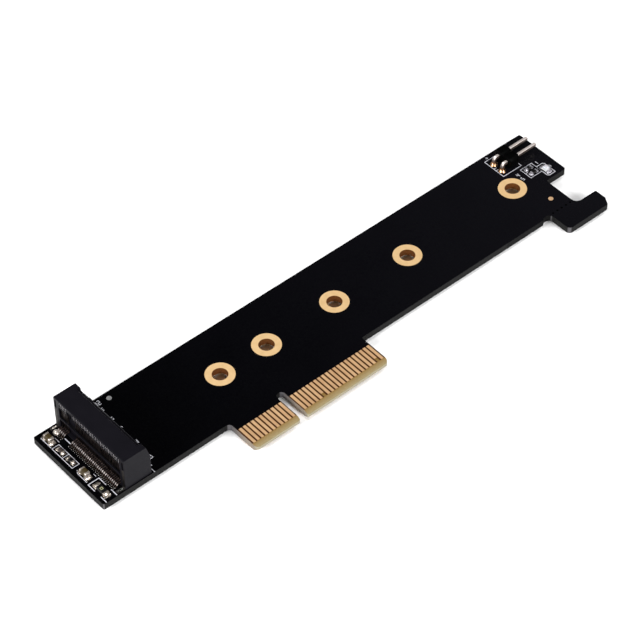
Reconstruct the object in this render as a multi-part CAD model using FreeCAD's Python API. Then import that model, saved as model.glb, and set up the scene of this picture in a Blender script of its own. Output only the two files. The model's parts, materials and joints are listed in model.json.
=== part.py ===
import FreeCAD, Part
import math
import os

# Adapter card that carries one 22 mm wide solid-state drive stick in a four-lane expansion slot.
#
# The card lies on its back. +X runs along the card from the drive socket to the pin header,
# +Y points from the edge contacts to the far edge, +Z points up out of the component side.
# X = 0 and Y = 0 are the middle of the card's box, Z = 0 is the tips of the header's soldered
# tails, the lowest points of the card. All sizes are in millimetres.

V = FreeCAD.Vector

# ---------------------------------------------------------------- circuit board
board_length = 130.4
board_width = 22.3
board_thickness = 1.57
board_corner_radius = 0.4
foil_thickness = 0.05            # copper with its plating, proud of the laminate
small_round_flats = 16
drill_flats = 10                 # rounds under 0.6 mm diameter

# ---------------------------------------------------------------- edge connector (x4)
tongue_depth = 8.15              # from the board's near edge to the connector's tip
contact_pitch = 1.0
contact_width = 0.7
contact_length = 4.55
contact_setback = 1.27           # bare laminate between a full contact and the tip
short_contact_cut = 0.95         # presence-detect contacts stop this much earlier
key_from_right_end = 87.4        # centre line of the key notch
key_width = 1.9
key_depth = 7.95
key_to_contact = 1.5             # key centre line to the nearest contact
contact_count_before_key = 11
contact_count_after_key = 21
tongue_side_margin = 0.65        # tongue's side beyond its last contact's centre line
tongue_tip_radius = 1.0
tongue_left_root_radius = 1.0
tongue_right_root_radius = 0.4
bevel_length = 1.17
bevel_angle_deg = 20.0
front_short_contacts = (17, 31)  # numbered from the left end, along the component side
back_short_contacts = (1,)

# ---------------------------------------------------------------- retention hook
notch_depth = 5.75               # into the board from its right end
notch_rise = 8.1                 # above the board's near edge
notch_root_radius = 1.6
notch_corner_radius = 0.5
hook_gap = 0.85                  # near edge of the board to the hook arm's upper side
hook_arm_width = 4.65
hook_length = 12.3               # from the stem's left side to the tip
hook_heel_radius = 1.0
hook_tip_chamfer_x = 1.05
hook_tip_chamfer_y = 1.8
hook_edge_radius = 0.3
bite_radius = 1.24               # round relief beside the stem
bite_rise = 0.5                  # above the board's near edge
snap_hole_radius = 0.26
snap_hole_count = 5
snap_hole_pitch = 1.25
snap_hole_rise = 0.2             # above the board's near edge

# ---------------------------------------------------------------- drive mounting holes
drive_lengths = (30.0, 42.0, 60.0, 80.0, 110.0)
drive_stop_from_left = 7.6       # face that the drive's edge stops against
mounting_hole_radius = 1.675
mounting_ring_radius = 3.1
mounting_ring_flats = 28         # round the foil's outer edge

# ---------------------------------------------------------------- assembly targets
target_radius = 0.55
socket_target_from_left = 17.27
socket_target_from_far_edge = 1.65
hook_target_from_right = 8.87
hook_target_above_near_edge = 3.6

# ---------------------------------------------------------------- drive socket
slot_end_wall = 0.95             # housing beyond each end of the slot
socket_height = 8.0
socket_rear = 2.1                # housing behind the drive's stop face
socket_top_front = 2.45          # upper jaw in front of the stop face
socket_lip_front = 4.05          # lower jaw in front of the stop face
cheek_to_contact = 0.25          # last contact's centre line to the cheek
cheek_front = 4.15
cheek_top_front = 3.25
cheek_slope_drop = 2.9           # from the top to where the cheeks start to lean back
drive_edge_margin = 0.675        # drive's edge beyond its last contact's centre line
drive_side_clearance = 0.075
drive_thickness = 0.8
upper_jaw_height = 0.75          # from the slot's ceiling to the top
lower_jaw_height = 1.05          # from the slot's floor to the front recess
drive_face_clearance = 0.2
recess_rear_wall = 1.4           # wall behind the contact legs, from the stop face
recess_front_wall = 3.05
recess_rear_drop = 1.9           # from the top to the rear recess
base_height = 0.45               # foot rail under the tails
base_rear = 2.2
base_front = 3.75
bar_bottom = 2.7                 # bar that keeps the upper contacts' legs in line
bar_top = 3.2
bar_thickness = 0.33
lead_in = 0.35
socket_edge_radius = 0.15

socket_contact_pitch = 0.5
socket_contact_count = 75        # both rows together, before the key takes its share
key_first_contact = 59
key_last_contact = 66
key_rib_width = 1.15
key_rib_length = 3.4
key_window_width = 1.5
key_window_depth = 1.5
key_window_height = 2.5
key_window_drop = 0.9            # from the top
socket_contact_width = 0.2
socket_contact_thickness = 0.15
groove_width = 0.3
groove_depth = 0.37              # into the jaw, past the slot's face
contact_wall_gap = 0.145         # between a contact's leg and the wall behind it
contact_rail_gap = 0.045         # between a tail and the foot rail
contact_preload = 0.05           # how far a nose reaches into the drive's own space
shoulder_inset = 0.1             # upper contacts' shoulders, inside the rear face
shoulder_drop = 0.95             # upright part of a shoulder, below the beam
shoulder_slant = 0.5             # height in which a leg steps in behind the bar
tail_reach = 1.65                # from the foot rail to the tail's end
foot_length = 0.75
knee_share = 0.55                # of the way from the rail to the foot
nose_from_stop = 1.75
nose_half_length = 0.6

peg_height = 1.2
peg_radii = (0.8, 0.55)          # at the near end and at the far end
peg_clearance = 0.05
peg_spacing = 18.6
peg_from_stop = 1.0

hold_down_width = 0.75
hold_down_thickness = 0.15
hold_down_drop = 3.0             # from the housing's top to the blade's
hold_down_foot = 1.9
hold_down_inset = 0.15           # from the housing's end
cheek_slot_width = 0.4           # coring slot above each hold-down
cheek_slot_height = 2.05
cheek_slot_drop = 0.65           # from the top
cheek_slot_depth = 0.6

# ---------------------------------------------------------------- pin header
header_pin_count = 2
header_pitch = 2.54
header_body_depth = 2.54
header_body_height = 2.54
header_body_gap = 0.45           # under the body
header_notch = 0.45
header_from_far_edge = 4.4       # centre line of the header
header_body_from_right = 9.35    # the body's rear face
header_tail_from_right = 10.55
header_tip_from_right = 0.85
header_axis_height = 1.72        # pin axis above the board
pin_size = 0.64
pin_bend_radius = 0.3
pin_tip_chamfer = 0.14
tail_below_board = 1.0
header_drill_radius = 0.5
solder_foot_radius = 0.9
solder_top_radius = 0.42
solder_height_front = 0.5
solder_height_back = 0.65

# ---------------------------------------------------------------- chip parts
chip_plating = 0.04
bulk_capacitor = dict(length=2.0, width=1.25, height=1.25, terminal=0.5)
small_chip = dict(length=1.6, width=0.8, height=0.5, terminal=0.33)
jumper = dict(length=3.1, width=1.3, height=0.55, terminal=0.5)
led = dict(length=2.0, width=1.25, height=0.35, terminal=0.32)
led_lens_length = 1.2
led_lens_height = 0.45
led_lens_draft = 0.08
chip_edge_chamfer = 0.06

strip_from_left = 1.9            # centre line of the parts behind the socket
far_supply_capacitor_rise = 8.6  # these five from the drive's centre line
filter_capacitor_rise = 4.8
strap_resistor_rise = 1.6
near_supply_capacitor_rise = -2.85
jumper_rise = -8.05
jumper_from_left = 1.95
led_resistor_from_right = 5.95
led_resistor_rises = (2.15, 0.55)
led_from_right = 3.35
led_rise = -0.4

# ---------------------------------------------------------------- places worked out from the sizes
card_depth = board_width + tongue_depth
x_left = -board_length / 2
x_right = board_length / 2
y_far = card_depth / 2
y_near = y_far - board_width
y_tip = -card_depth / 2
drive_line = (y_far + y_near) / 2
z_back = tail_below_board
z_front = z_back + board_thickness
z_land = z_front + foil_thickness
key_x = x_right - key_from_right_end
drive_stop = x_left + drive_stop_from_left
contact_reach = (socket_contact_count - 1) * socket_contact_pitch / 4
cheek_inner = contact_reach + cheek_to_contact
slot_half = contact_reach + drive_edge_margin + drive_side_clearance
socket_half = slot_half + slot_end_wall
slot_ceiling = socket_height - upper_jaw_height
drive_underside = slot_ceiling - drive_face_clearance - drive_thickness
slot_floor = drive_underside - drive_face_clearance
recess_top_rear = socket_height - recess_rear_drop
recess_top_front = slot_floor - lower_jaw_height
hold_down_height = socket_height - hold_down_drop
header_line = y_far - header_from_far_edge


def block(x0, x1, y0, y1, z0, z1):
    """Box between two opposite corners."""
    return Part.makeBox(x1 - x0, y1 - y0, z1 - z0, V(x0, y0, z0))


def rod(radius, x, y, z0, z1):
    """Upright round bar."""
    return Part.makeCylinder(radius, z1 - z0, V(x, y, z0))


def round_of_flats(radius, x, y, z, flats=small_round_flats):
    """Closed wire of flats that stand for a circle, within 0.02 mm of it."""
    turn = 2 * math.pi / flats
    points = [V(x + radius * math.cos(i * turn), y + radius * math.sin(i * turn), z)
              for i in range(flats)]
    return Part.makePolygon(points + points[:1])


def small_rod(radius, x, y, z0, z1, flats=small_round_flats):
    """Upright bar of under 2 mm diameter, or one whose roundness matters little."""
    return Part.Face(round_of_flats(radius, x, y, z0, flats)).extrude(V(0, 0, z1 - z0))


def small_taper(radius0, radius1, x, y, z0, z1):
    """Upright tapered bar of under 2 mm diameter."""
    return Part.makeLoft([round_of_flats(radius0, x, y, z0), round_of_flats(radius1, x, y, z1)], True, True)


def cut_all(body, tools):
    """Body less every tool, in one operation."""
    return body.cut(Part.makeCompound(tools))


def rounded_wire(corners, place):
    """Closed wire through corners (a, b, radius), with each corner rounded by a tangent arc.

    place turns the flat coordinates a and b into a point in space.
    """
    count = len(corners)
    arcs = []
    for i in range(count):
        a, b, radius = corners[i]
        corner = V(a, b, 0)
        before = V(*corners[i - 1][:2], 0) - corner
        after = V(*corners[(i + 1) % count][:2], 0) - corner
        if radius <= 0:
            arcs.append((corner, None, corner))
            continue
        half = before.getAngle(after) / 2
        before.normalize()
        after.normalize()
        reach = radius / math.tan(half)
        middle_way = before + after
        middle_way.normalize()
        centre = corner + middle_way * (radius / math.sin(half))
        arcs.append((corner + before * reach, centre - middle_way * radius, corner + after * reach))
    edges = []
    for i in range(count):
        start, middle, end = arcs[i]
        if middle is not None:
            edges.append(Part.Arc(place(*start[:2]), place(*middle[:2]), place(*end[:2])).toShape())
        next_start = arcs[(i + 1) % count][0]
        if end.distanceToPoint(next_start) > 1e-6:
            edges.append(Part.LineSegment(place(*end[:2]), place(*next_start[:2])).toShape())
    return Part.Wire(edges)


def prism_z(corners, z0, z1):
    """Rounded outline in the XY plane, raised from z0 to z1."""
    wire = rounded_wire(corners, lambda a, b: V(a, b, z0))
    return Part.Face(wire).extrude(V(0, 0, z1 - z0))


def prism_y(corners, y0, y1):
    """Rounded outline in the XZ plane, carried from y0 to y1."""
    wire = rounded_wire(corners, lambda a, b: V(a, y0, b))
    return Part.Face(wire).extrude(V(0, y1 - y0, 0))


def prism_x(corners, x0, x1):
    """Rounded outline in the YZ plane, carried from x0 to x1."""
    wire = rounded_wire(corners, lambda a, b: V(x0, a, b))
    return Part.Face(wire).extrude(V(x1 - x0, 0, 0))


def strip_outline(path, thickness):
    """Corners of a bent strip's edge view: both sides of its centre line, mitred at the bends."""
    left = []
    right = []
    for i, (a, b) in enumerate(path):
        here = V(a, b, 0)
        ways = []
        if i > 0:
            ways.append(here - V(*path[i - 1], 0))
        if i < len(path) - 1:
            ways.append(V(*path[i + 1], 0) - here)
        normals = [V(-way.y, way.x, 0).normalize() for way in ways]
        mitre = normals[0] + normals[-1]
        mitre.normalize()
        side = mitre * (thickness / 2 / mitre.dot(normals[0]))
        left.append((a + side.x, b + side.y, 0))
        right.append((a - side.x, b - side.y, 0))
    return left + right[::-1]


def tongue_sides():
    """Left and right sides of the short and the long tongue, along X."""
    short_left = key_x - key_to_contact - (contact_count_before_key - 1) * contact_pitch - tongue_side_margin
    long_right = key_x + key_to_contact + (contact_count_after_key - 1) * contact_pitch + tongue_side_margin
    return short_left, long_right


def contact_x(number):
    """Centre line of an edge contact, numbered from 1 at the left end."""
    if number <= contact_count_before_key:
        return key_x - key_to_contact - (contact_count_before_key - number) * contact_pitch
    return key_x + key_to_contact + (number - contact_count_before_key - 1) * contact_pitch


def peg_places():
    """X, Y and radius of the socket's two locating pegs, near end first."""
    x = drive_stop + peg_from_stop
    near, far = peg_radii
    return [(x, drive_line - peg_spacing / 2, near), (x, drive_line + peg_spacing / 2, far)]


def header_pin_lines():
    """Y of each header pin, far pin first."""
    first = header_line + (header_pin_count - 1) * header_pitch / 2
    return [first - i * header_pitch for i in range(header_pin_count)]


def board_outline():
    """Corners of the board with its tongues and its retention hook, clockwise from the far left."""
    short_left, long_right = tongue_sides()
    notch_x = x_right - notch_depth
    stem_x = x_right - hook_length
    arm_far = y_near - hook_gap
    arm_near = arm_far - hook_arm_width
    bite_y = y_near + bite_rise - bite_radius
    key_top = y_tip + key_depth
    return [
        (x_left, y_far, board_corner_radius),
        (x_right, y_far, board_corner_radius),
        (x_right, y_near + notch_rise, notch_corner_radius),
        (notch_x, y_near + notch_rise, notch_corner_radius),
        (notch_x, arm_far, notch_root_radius),
        (x_right, arm_far, hook_edge_radius),
        (x_right, arm_near + hook_tip_chamfer_y, hook_edge_radius),
        (x_right - hook_tip_chamfer_x, arm_near, hook_edge_radius),
        (stem_x, arm_near, hook_heel_radius),
        (stem_x, bite_y, 0),
        (stem_x - bite_radius, bite_y, 0),
        (stem_x - bite_radius, y_near, 0),
        (long_right, y_near, tongue_right_root_radius),
        (long_right, y_tip, tongue_tip_radius),
        (key_x + key_width / 2, y_tip, board_corner_radius),
        (key_x + key_width / 2, key_top, key_width / 2),
        (key_x - key_width / 2, key_top, key_width / 2),
        (key_x - key_width / 2, y_tip, board_corner_radius),
        (short_left, y_tip, tongue_tip_radius),
        (short_left, y_near, tongue_left_root_radius),
        (x_left, y_near, board_corner_radius),
    ]


def board_drillings():
    """Every round hole and relief that goes through the laminate."""
    tools = []
    for length in drive_lengths:
        tools.append(rod(mounting_hole_radius, drive_stop + length, drive_line, z_back, z_front))
    for y in header_pin_lines():
        tools.append(small_rod(header_drill_radius, x_right - header_tail_from_right, y, z_back, z_front))
    for x, y, radius in peg_places():
        tools.append(small_rod(radius + peg_clearance, x, y, z_back, z_front))
    stem_middle = x_right - (hook_length + notch_depth) / 2
    for i in range(snap_hole_count):
        x = stem_middle + (i - (snap_hole_count - 1) / 2) * snap_hole_pitch
        tools.append(small_rod(snap_hole_radius, x, y_near + snap_hole_rise, z_back, z_front, drill_flats))
    bite_x = x_right - hook_length - bite_radius
    tools.append(rod(bite_radius, bite_x, y_near + bite_rise - bite_radius, z_back, z_front))
    return tools


def bevel_wedges():
    """Material taken off both faces along the edge connector's tip."""
    short_left, long_right = tongue_sides()
    drop = bevel_length * math.tan(math.radians(bevel_angle_deg))
    root = y_tip + bevel_length
    front = [(root, z_front, 0), (y_tip, z_front - drop, 0), (y_tip, z_front, 0)]
    back = [(root, z_back, 0), (y_tip, z_back + drop, 0), (y_tip, z_back, 0)]
    return [prism_x(side, short_left, long_right) for side in (front, back)]


def circuit_board():
    """Laminate with its tongues, hook, holes and bevelled connector edge."""
    plate = prism_z(board_outline(), z_back, z_front)
    return cut_all(plate, board_drillings() + bevel_wedges())


def edge_contacts(numbers, short_numbers, z0, z1):
    """Gold contacts on one face of the connector."""
    solids = []
    far_end = y_tip + contact_setback + contact_length
    for number in numbers:
        near_end = y_tip + contact_setback
        if number in short_numbers:
            near_end += short_contact_cut
        x = contact_x(number)
        solids.append(block(x - contact_width / 2, x + contact_width / 2, near_end, far_end, z0, z1))
    return Part.makeCompound(solids)


def mounting_ring(length):
    """Foil ring on each face, round the screw hole for a drive of that length."""
    x = drive_stop + length
    foils = []
    for low, high in ((z_front, z_land), (z_back - foil_thickness, z_back)):
        disc = small_rod(mounting_ring_radius, x, drive_line, low, high, mounting_ring_flats)
        foils.append(disc.cut(rod(mounting_hole_radius, x, drive_line, low, high)))
    return Part.makeCompound(foils)


def assembly_target(x, y):
    """Round pad that assembly machines look for."""
    return small_rod(target_radius, x, y, z_front, z_land)


def socket_rows():
    """Offsets from the drive's centre line of the upper (odd) and the lower (even) contacts."""
    middle = (socket_contact_count + 1) / 2
    upper = []
    lower = []
    for number in range(1, socket_contact_count + 1):
        if key_first_contact <= number <= key_last_contact:
            continue
        row = upper if number % 2 else lower
        row.append((number - middle) * socket_contact_pitch / 2)
    return upper, lower


def socket_box(a0, a1, b0, b1, c0, c1):
    """Box in the socket's own directions: from the stop face, the drive line and the board."""
    return block(drive_stop + a0, drive_stop + a1, drive_line + b0, drive_line + b1,
                 z_front + c0, z_front + c1)


def socket_prism(corners, b0, b1):
    """Side view of the socket (from the stop face, above the board) carried along its length."""
    placed = [(drive_stop + a, z_front + c, radius) for a, c, radius in corners]
    return prism_y(placed, drive_line + b0, drive_line + b1)


def jaw_section():
    """Side view of the housing between its cheeks: two jaws, a recess on each side and a rail."""
    return [
        (-base_rear, 0, 0),
        (-base_rear, base_height, 0),
        (-recess_rear_wall, base_height, 0),
        (-recess_rear_wall, recess_top_rear, 0),
        (-socket_rear, recess_top_rear, 0),
        (-socket_rear, socket_height, socket_edge_radius),
        (socket_top_front, socket_height, socket_edge_radius),
        (socket_top_front, slot_ceiling + lead_in, 0),
        (socket_top_front - lead_in, slot_ceiling, 0),
        (0, slot_ceiling, 0),
        (0, slot_floor, 0),
        (socket_lip_front - lead_in, slot_floor, 0),
        (socket_lip_front, slot_floor - lead_in, 0),
        (socket_lip_front, recess_top_front, 0),
        (recess_front_wall, recess_top_front, 0),
        (recess_front_wall, base_height, 0),
        (base_front, base_height, 0),
        (base_front, 0, 0),
    ]


def cheek_section():
    """Side view of the housing's ends, which guide the drive in."""
    return [
        (-socket_rear, 0, 0),
        (-socket_rear, socket_height, socket_edge_radius),
        (cheek_top_front, socket_height, socket_edge_radius),
        (cheek_front, socket_height - cheek_slope_drop, 0),
        (cheek_front, 0, 0),
    ]


def upper_groove(offset):
    """Room for one upper contact: jaw groove and rear window."""
    half = groove_width / 2
    top = slot_ceiling + groove_depth
    nose_end = nose_from_stop + nose_half_length + socket_contact_thickness / 2
    return [
        socket_box(-recess_rear_wall, nose_end, offset - half, offset + half, slot_ceiling, top),
        socket_box(-socket_rear, -recess_rear_wall, offset - half, offset + half, recess_top_rear, top),
    ]


def lower_groove(offset):
    """Room for one lower contact: jaw groove and the way through the lip."""
    half = groove_width / 2
    bottom = slot_floor - groove_depth - socket_contact_thickness
    nose_end = nose_from_stop - nose_half_length
    leg_room = recess_front_wall + contact_wall_gap * 1.5 + socket_contact_thickness
    return [
        socket_box(nose_end, recess_front_wall, offset - half, offset + half, bottom, slot_floor),
        socket_box(recess_front_wall, leg_room, offset - half, offset + half, recess_top_front, slot_floor),
    ]


def hold_down_offset(side):
    """Centre line of a hold-down, side being -1 at the near end and +1 at the far end."""
    return side * (socket_half - hold_down_inset - hold_down_width / 2)


def cheek_pockets():
    """Pockets in the cheeks' rear faces: one for each hold-down and a coring slot above it."""
    tools = []
    for side in (-1, 1):
        offset = hold_down_offset(side)
        half = hold_down_width / 2
        tools.append(socket_box(-socket_rear, -socket_rear + hold_down_thickness,
                                offset - half, offset + half, 0, hold_down_height))
        half = cheek_slot_width / 2
        slot_top = socket_height - cheek_slot_drop
        tools.append(socket_box(-socket_rear, -socket_rear + cheek_slot_depth,
                                offset - half, offset + half, slot_top - cheek_slot_height, slot_top))
    return tools


def key_middle():
    """Centre of the key, from the drive's centre line."""
    middle = (socket_contact_count + 1) / 2
    return ((key_first_contact + key_last_contact) / 2 - middle) * socket_contact_pitch / 2


def socket_housing():
    """Moulded housing: jaws, cheeks, key rib, contact grooves and locating pegs."""
    key = key_middle()
    parts = [socket_prism(jaw_section(), -cheek_inner, cheek_inner)]
    for low, high in ((-socket_half, -cheek_inner), (cheek_inner, socket_half)):
        parts.append(socket_prism(cheek_section(), low, high))
    parts.append(socket_box(-socket_rear, bar_thickness - socket_rear, -cheek_inner, cheek_inner,
                            bar_bottom, bar_top))
    for x, y, radius in peg_places():
        parts.append(small_rod(radius, x, y, z_front - peg_height, z_front))
    slot_ends = []
    for low, high in ((-slot_half, -cheek_inner), (cheek_inner, slot_half)):
        slot_ends.append(socket_box(0, cheek_front, low, high, slot_floor, slot_ceiling))
    body = parts[0].fuse(parts[1:]).cut(slot_ends)
    rib = socket_box(0, key_rib_length, key - key_rib_width / 2, key + key_rib_width / 2,
                     slot_floor, slot_ceiling)
    body = body.fuse(rib).removeSplitter()
    upper, lower = socket_rows()
    tools = cheek_pockets()
    window_top = socket_height - key_window_drop
    tools.append(socket_box(-socket_rear, -socket_rear + key_window_depth, key - key_window_width / 2,
                            key + key_window_width / 2, window_top - key_window_height, window_top))
    for offset in upper:
        tools += upper_groove(offset)
    for offset in lower:
        tools += lower_groove(offset)
    return cut_all(body, tools)


def upper_contact_path():
    """Centre line of an upper contact: tail, leg behind the bar, shoulder, beam and nose."""
    leg = -(recess_rear_wall + contact_wall_gap + socket_contact_thickness / 2)
    shoulder = -(socket_rear - shoulder_inset - socket_contact_thickness / 2)
    beam = slot_ceiling + groove_depth / 2
    shoulder_low = beam - shoulder_drop
    nose = drive_underside + drive_thickness - contact_preload + socket_contact_thickness / 2
    rail = base_height + contact_rail_gap + socket_contact_thickness / 2
    foot = socket_contact_thickness / 2
    tail_end = -(base_rear + tail_reach)
    return [
        (tail_end, foot),
        (tail_end + foot_length, foot),
        (-base_rear - (tail_reach - foot_length) * (1 - knee_share), rail),
        (leg, rail),
        (leg, shoulder_low - shoulder_slant),
        (shoulder, shoulder_low),
        (shoulder, beam),
        (nose_from_stop - nose_half_length, beam),
        (nose_from_stop, nose),
    ]


def lower_contact_path():
    """Centre line of a lower contact: tail, leg in front of the housing, beam and nose."""
    leg = recess_front_wall + contact_wall_gap + socket_contact_thickness / 2
    beam = slot_floor - groove_depth
    nose = drive_underside + contact_preload - socket_contact_thickness / 2
    rail = base_height + contact_rail_gap + socket_contact_thickness / 2
    foot = socket_contact_thickness / 2
    tail_end = base_front + tail_reach
    return [
        (tail_end, foot),
        (tail_end - foot_length, foot),
        (base_front + (tail_reach - foot_length) * (1 - knee_share), rail),
        (leg, rail),
        (leg, beam),
        (nose_from_stop + nose_half_length, beam),
        (nose_from_stop, nose),
    ]


def socket_contacts(path, offsets):
    """One row of stamped contacts."""
    half = socket_contact_width / 2
    corners = strip_outline(path, socket_contact_thickness)
    return Part.makeCompound([socket_prism(corners, offset - half, offset + half) for offset in offsets])


def hold_down(side):
    """Stamped nail: a blade in the cheek's pocket and a foot on its land."""
    centre = -socket_rear + hold_down_thickness / 2
    foot = hold_down_thickness / 2
    path = [(centre - hold_down_foot, foot), (centre, foot), (centre, hold_down_height)]
    offset = hold_down_offset(side)
    half = hold_down_width / 2
    return socket_prism(strip_outline(path, hold_down_thickness), offset - half, offset + half)


def header_housing():
    """Insulator with a snap notch between its cells, bored for the pins."""
    half = header_pin_count * header_pitch / 2
    bottom = z_front + header_body_gap
    top = bottom + header_body_height
    bounds = [header_line - half + i * header_pitch for i in range(header_pin_count + 1)]
    upper = []
    lower = []
    for i, y in enumerate(bounds):
        for edge in ([-1] if i else []) + ([1] if i < header_pin_count else []):
            step = y + edge * header_notch
            if edge < 0:
                upper += [(step, top, 0), (y, top - header_notch, 0)]
                lower += [(step, bottom, 0), (y, bottom + header_notch, 0)]
            else:
                start = [] if i else [(y, top - header_notch, 0)]
                start_low = [] if i else [(y, bottom + header_notch, 0)]
                upper += start + [(step, top, 0)]
                lower += start_low + [(step, bottom, 0)]
    rear = x_right - header_body_from_right
    body = prism_x(lower + upper[::-1], rear, rear + header_body_depth)
    axis = z_front + header_axis_height
    half_pin = pin_size / 2
    bores = [block(rear, rear + header_body_depth, y - half_pin, y + half_pin,
                   axis - half_pin, axis + half_pin)
             for y in header_pin_lines()]
    return cut_all(body, bores)


def header_pin(y):
    """Square pin bent once: its long end along the board, its tail down through it."""
    axis = z_front + header_axis_height
    tail_x = x_right - header_tail_from_right
    tip_x = x_right - header_tip_from_right
    half = pin_size / 2
    corners = [
        (tail_x - half, 0, 0),
        (tail_x - half, axis + half, pin_bend_radius + pin_size),
        (tip_x, axis + half, 0),
        (tip_x, axis - half, 0),
        (tail_x + half, axis - half, pin_bend_radius),
        (tail_x + half, 0, 0),
    ]
    pin = prism_y(corners, y - half, y + half)
    ends = [face for face in pin.Faces if abs(face.BoundBox.XMin - tip_x) < 1e-6
            or face.BoundBox.ZMax < 1e-6]
    edges = [edge for face in ends for edge in face.Edges]
    return pin.makeChamfer(pin_tip_chamfer, edges)


def header_solder(y):
    """Solder that fills the plated hole, covers its lands and climbs the pin on both faces."""
    x = x_right - header_tail_from_right
    core = small_rod(header_drill_radius, x, y, z_back, z_front)
    front = small_taper(solder_foot_radius, solder_top_radius, x, y, z_front, z_front + solder_height_front)
    back = small_taper(solder_top_radius, solder_foot_radius, x, y, z_back - solder_height_back, z_back)
    half = pin_size / 2
    pin_way = block(x - half, x + half, y - half, y + half, 0, z_front + header_axis_height)
    return core.fuse([front, back]).removeSplitter().cut(pin_way)


def chip_boxes(x, y, size, turned):
    """Body and outer box of a chip part, its length along X, or along Y where turned."""
    half_length = size["length"] / 2
    half_width = size["width"] / 2
    if turned:
        half_length, half_width = half_width, half_length
    outer = (x - half_length, x + half_length, y - half_width, y + half_width,
             z_front, z_front + size["height"])
    t = chip_plating
    inner = (outer[0] + t, outer[1] - t, outer[2] + t, outer[3] - t, outer[4] + t, outer[5] - t)
    return block(*inner), outer


def terminal_boxes(outer, size, turned):
    """The two ends of a chip part's outer box."""
    x0, x1, y0, y1, z0, z1 = outer
    reach = size["terminal"]
    if turned:
        return [(x0, x1, y0, y0 + reach, z0, z1), (x0, x1, y1 - reach, y1, z0, z1)]
    return [(x0, x0 + reach, y0, y1, z0, z1), (x1 - reach, x1, y0, y1, z0, z1)]


def chip(x, y, size, turned):
    """Body and plated terminals of a chip part soldered to the board."""
    body, outer = chip_boxes(x, y, size, turned)
    shell = block(*outer)
    upright = [edge for edge in shell.Edges if abs(edge.BoundBox.ZLength - size["height"]) < 1e-6]
    shell = shell.makeChamfer(chip_edge_chamfer, upright)
    caps = [shell.common(block(*box)).cut(body) for box in terminal_boxes(outer, size, turned)]
    return body, Part.makeCompound(caps)


def led_lens(x, y):
    """Moulded lens on the light-emitting diode's base, its sides drawn in towards the top."""
    bottom = z_front + led["height"] - chip_plating
    top = bottom + led_lens_height
    half_y = led_lens_length / 2
    half_x = led["width"] / 2 - chip_plating
    d = led_lens_draft
    low = Part.makePolygon([V(x + i * half_x, y + j * half_y, bottom)
                            for i, j in ((-1, -1), (1, -1), (1, 1), (-1, 1), (-1, -1))])
    high = Part.makePolygon([V(x + i * (half_x - d), y + j * (half_y - d), top)
                             for i, j in ((-1, -1), (1, -1), (1, 1), (-1, 1), (-1, -1))])
    return Part.makeLoft([low, high], True, True)


def chip_places():
    """Name, place, size and turn of every chip part on the board."""
    strip = x_left + strip_from_left
    places = [
        ("supply_capacitor_far", strip, drive_line + far_supply_capacitor_rise, bulk_capacitor, True),
        ("filter_capacitor", strip, drive_line + filter_capacitor_rise, small_chip, True),
        ("strap_resistor", strip, drive_line + strap_resistor_rise, small_chip, True),
        ("supply_capacitor_near", strip, drive_line + near_supply_capacitor_rise, bulk_capacitor, True),
        ("jumper_link", x_left + jumper_from_left, drive_line + jumper_rise, jumper, True),
        ("activity_led", x_right - led_from_right, drive_line + led_rise, led, True),
    ]
    for i, rise in enumerate(led_resistor_rises):
        places.append(("led_resistor_%d" % (i + 1), x_right - led_resistor_from_right,
                       drive_line + rise, small_chip, False))
    return places


def build():
    """Every node of the card, by name."""
    nodes = {"circuit_board": circuit_board()}
    last = contact_count_before_key + contact_count_after_key
    groups = (("before_key", range(1, contact_count_before_key + 1)),
              ("after_key", range(contact_count_before_key + 1, last + 1)))
    for group, numbers in groups:
        nodes["front_contacts_" + group] = edge_contacts(numbers, front_short_contacts, z_front, z_land)
        nodes["back_contacts_" + group] = edge_contacts(numbers, back_short_contacts,
                                                        z_back - foil_thickness, z_back)
    for length in drive_lengths:
        nodes["mounting_ring_%d" % length] = mounting_ring(length)
    nodes["assembly_target_socket_end"] = assembly_target(x_left + socket_target_from_left,
                                                          y_far - socket_target_from_far_edge)
    nodes["assembly_target_hook_end"] = assembly_target(x_right - hook_target_from_right,
                                                        y_near + hook_target_above_near_edge)
    upper, lower = socket_rows()
    nodes["socket_housing"] = socket_housing()
    nodes["socket_upper_contacts"] = socket_contacts(upper_contact_path(), upper)
    nodes["socket_lower_contacts"] = socket_contacts(lower_contact_path(), lower)
    nodes["socket_hold_down_near"] = hold_down(-1)
    nodes["socket_hold_down_far"] = hold_down(1)
    nodes["header_housing"] = header_housing()
    for i, y in enumerate(header_pin_lines()):
        nodes["header_pin_%d" % (i + 1)] = header_pin(y)
        nodes["header_solder_%d" % (i + 1)] = header_solder(y)
    for name, x, y, size, turned in chip_places():
        body, terminals = chip(x, y, size, turned)
        nodes[name + "_body"] = body
        nodes[name + "_terminals"] = terminals
        if size is led:
            nodes[name + "_lens"] = led_lens(x, y)
    return nodes


os.makedirs("parts", exist_ok=True)
for name, shape in build().items():
    shape.exportStep("parts/%s.step" % name)
    print("%-32s solids %3d  valid %s" % (name, len(shape.Solids), shape.isValid()))
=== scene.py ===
"""Looks of an adapter card that carries one solid-state drive stick in a four-lane expansion slot.

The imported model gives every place. Each sub-assembly of the card is a class that builds the
pieces the solids leave plain (printed legend, solder, formed contacts, chip parts) and gives a
procedural finish to the solids that stay. The sub-assemblies count in millimetres, and the
finishes in metres, except where a name ends in _mm.
"""

import json
import logging
import math
import random
from dataclasses import dataclass, replace
from enum import Enum
from typing import Callable, Optional, Sequence, Union

import bmesh
import bpy
from mathutils import Matrix, Vector

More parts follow.
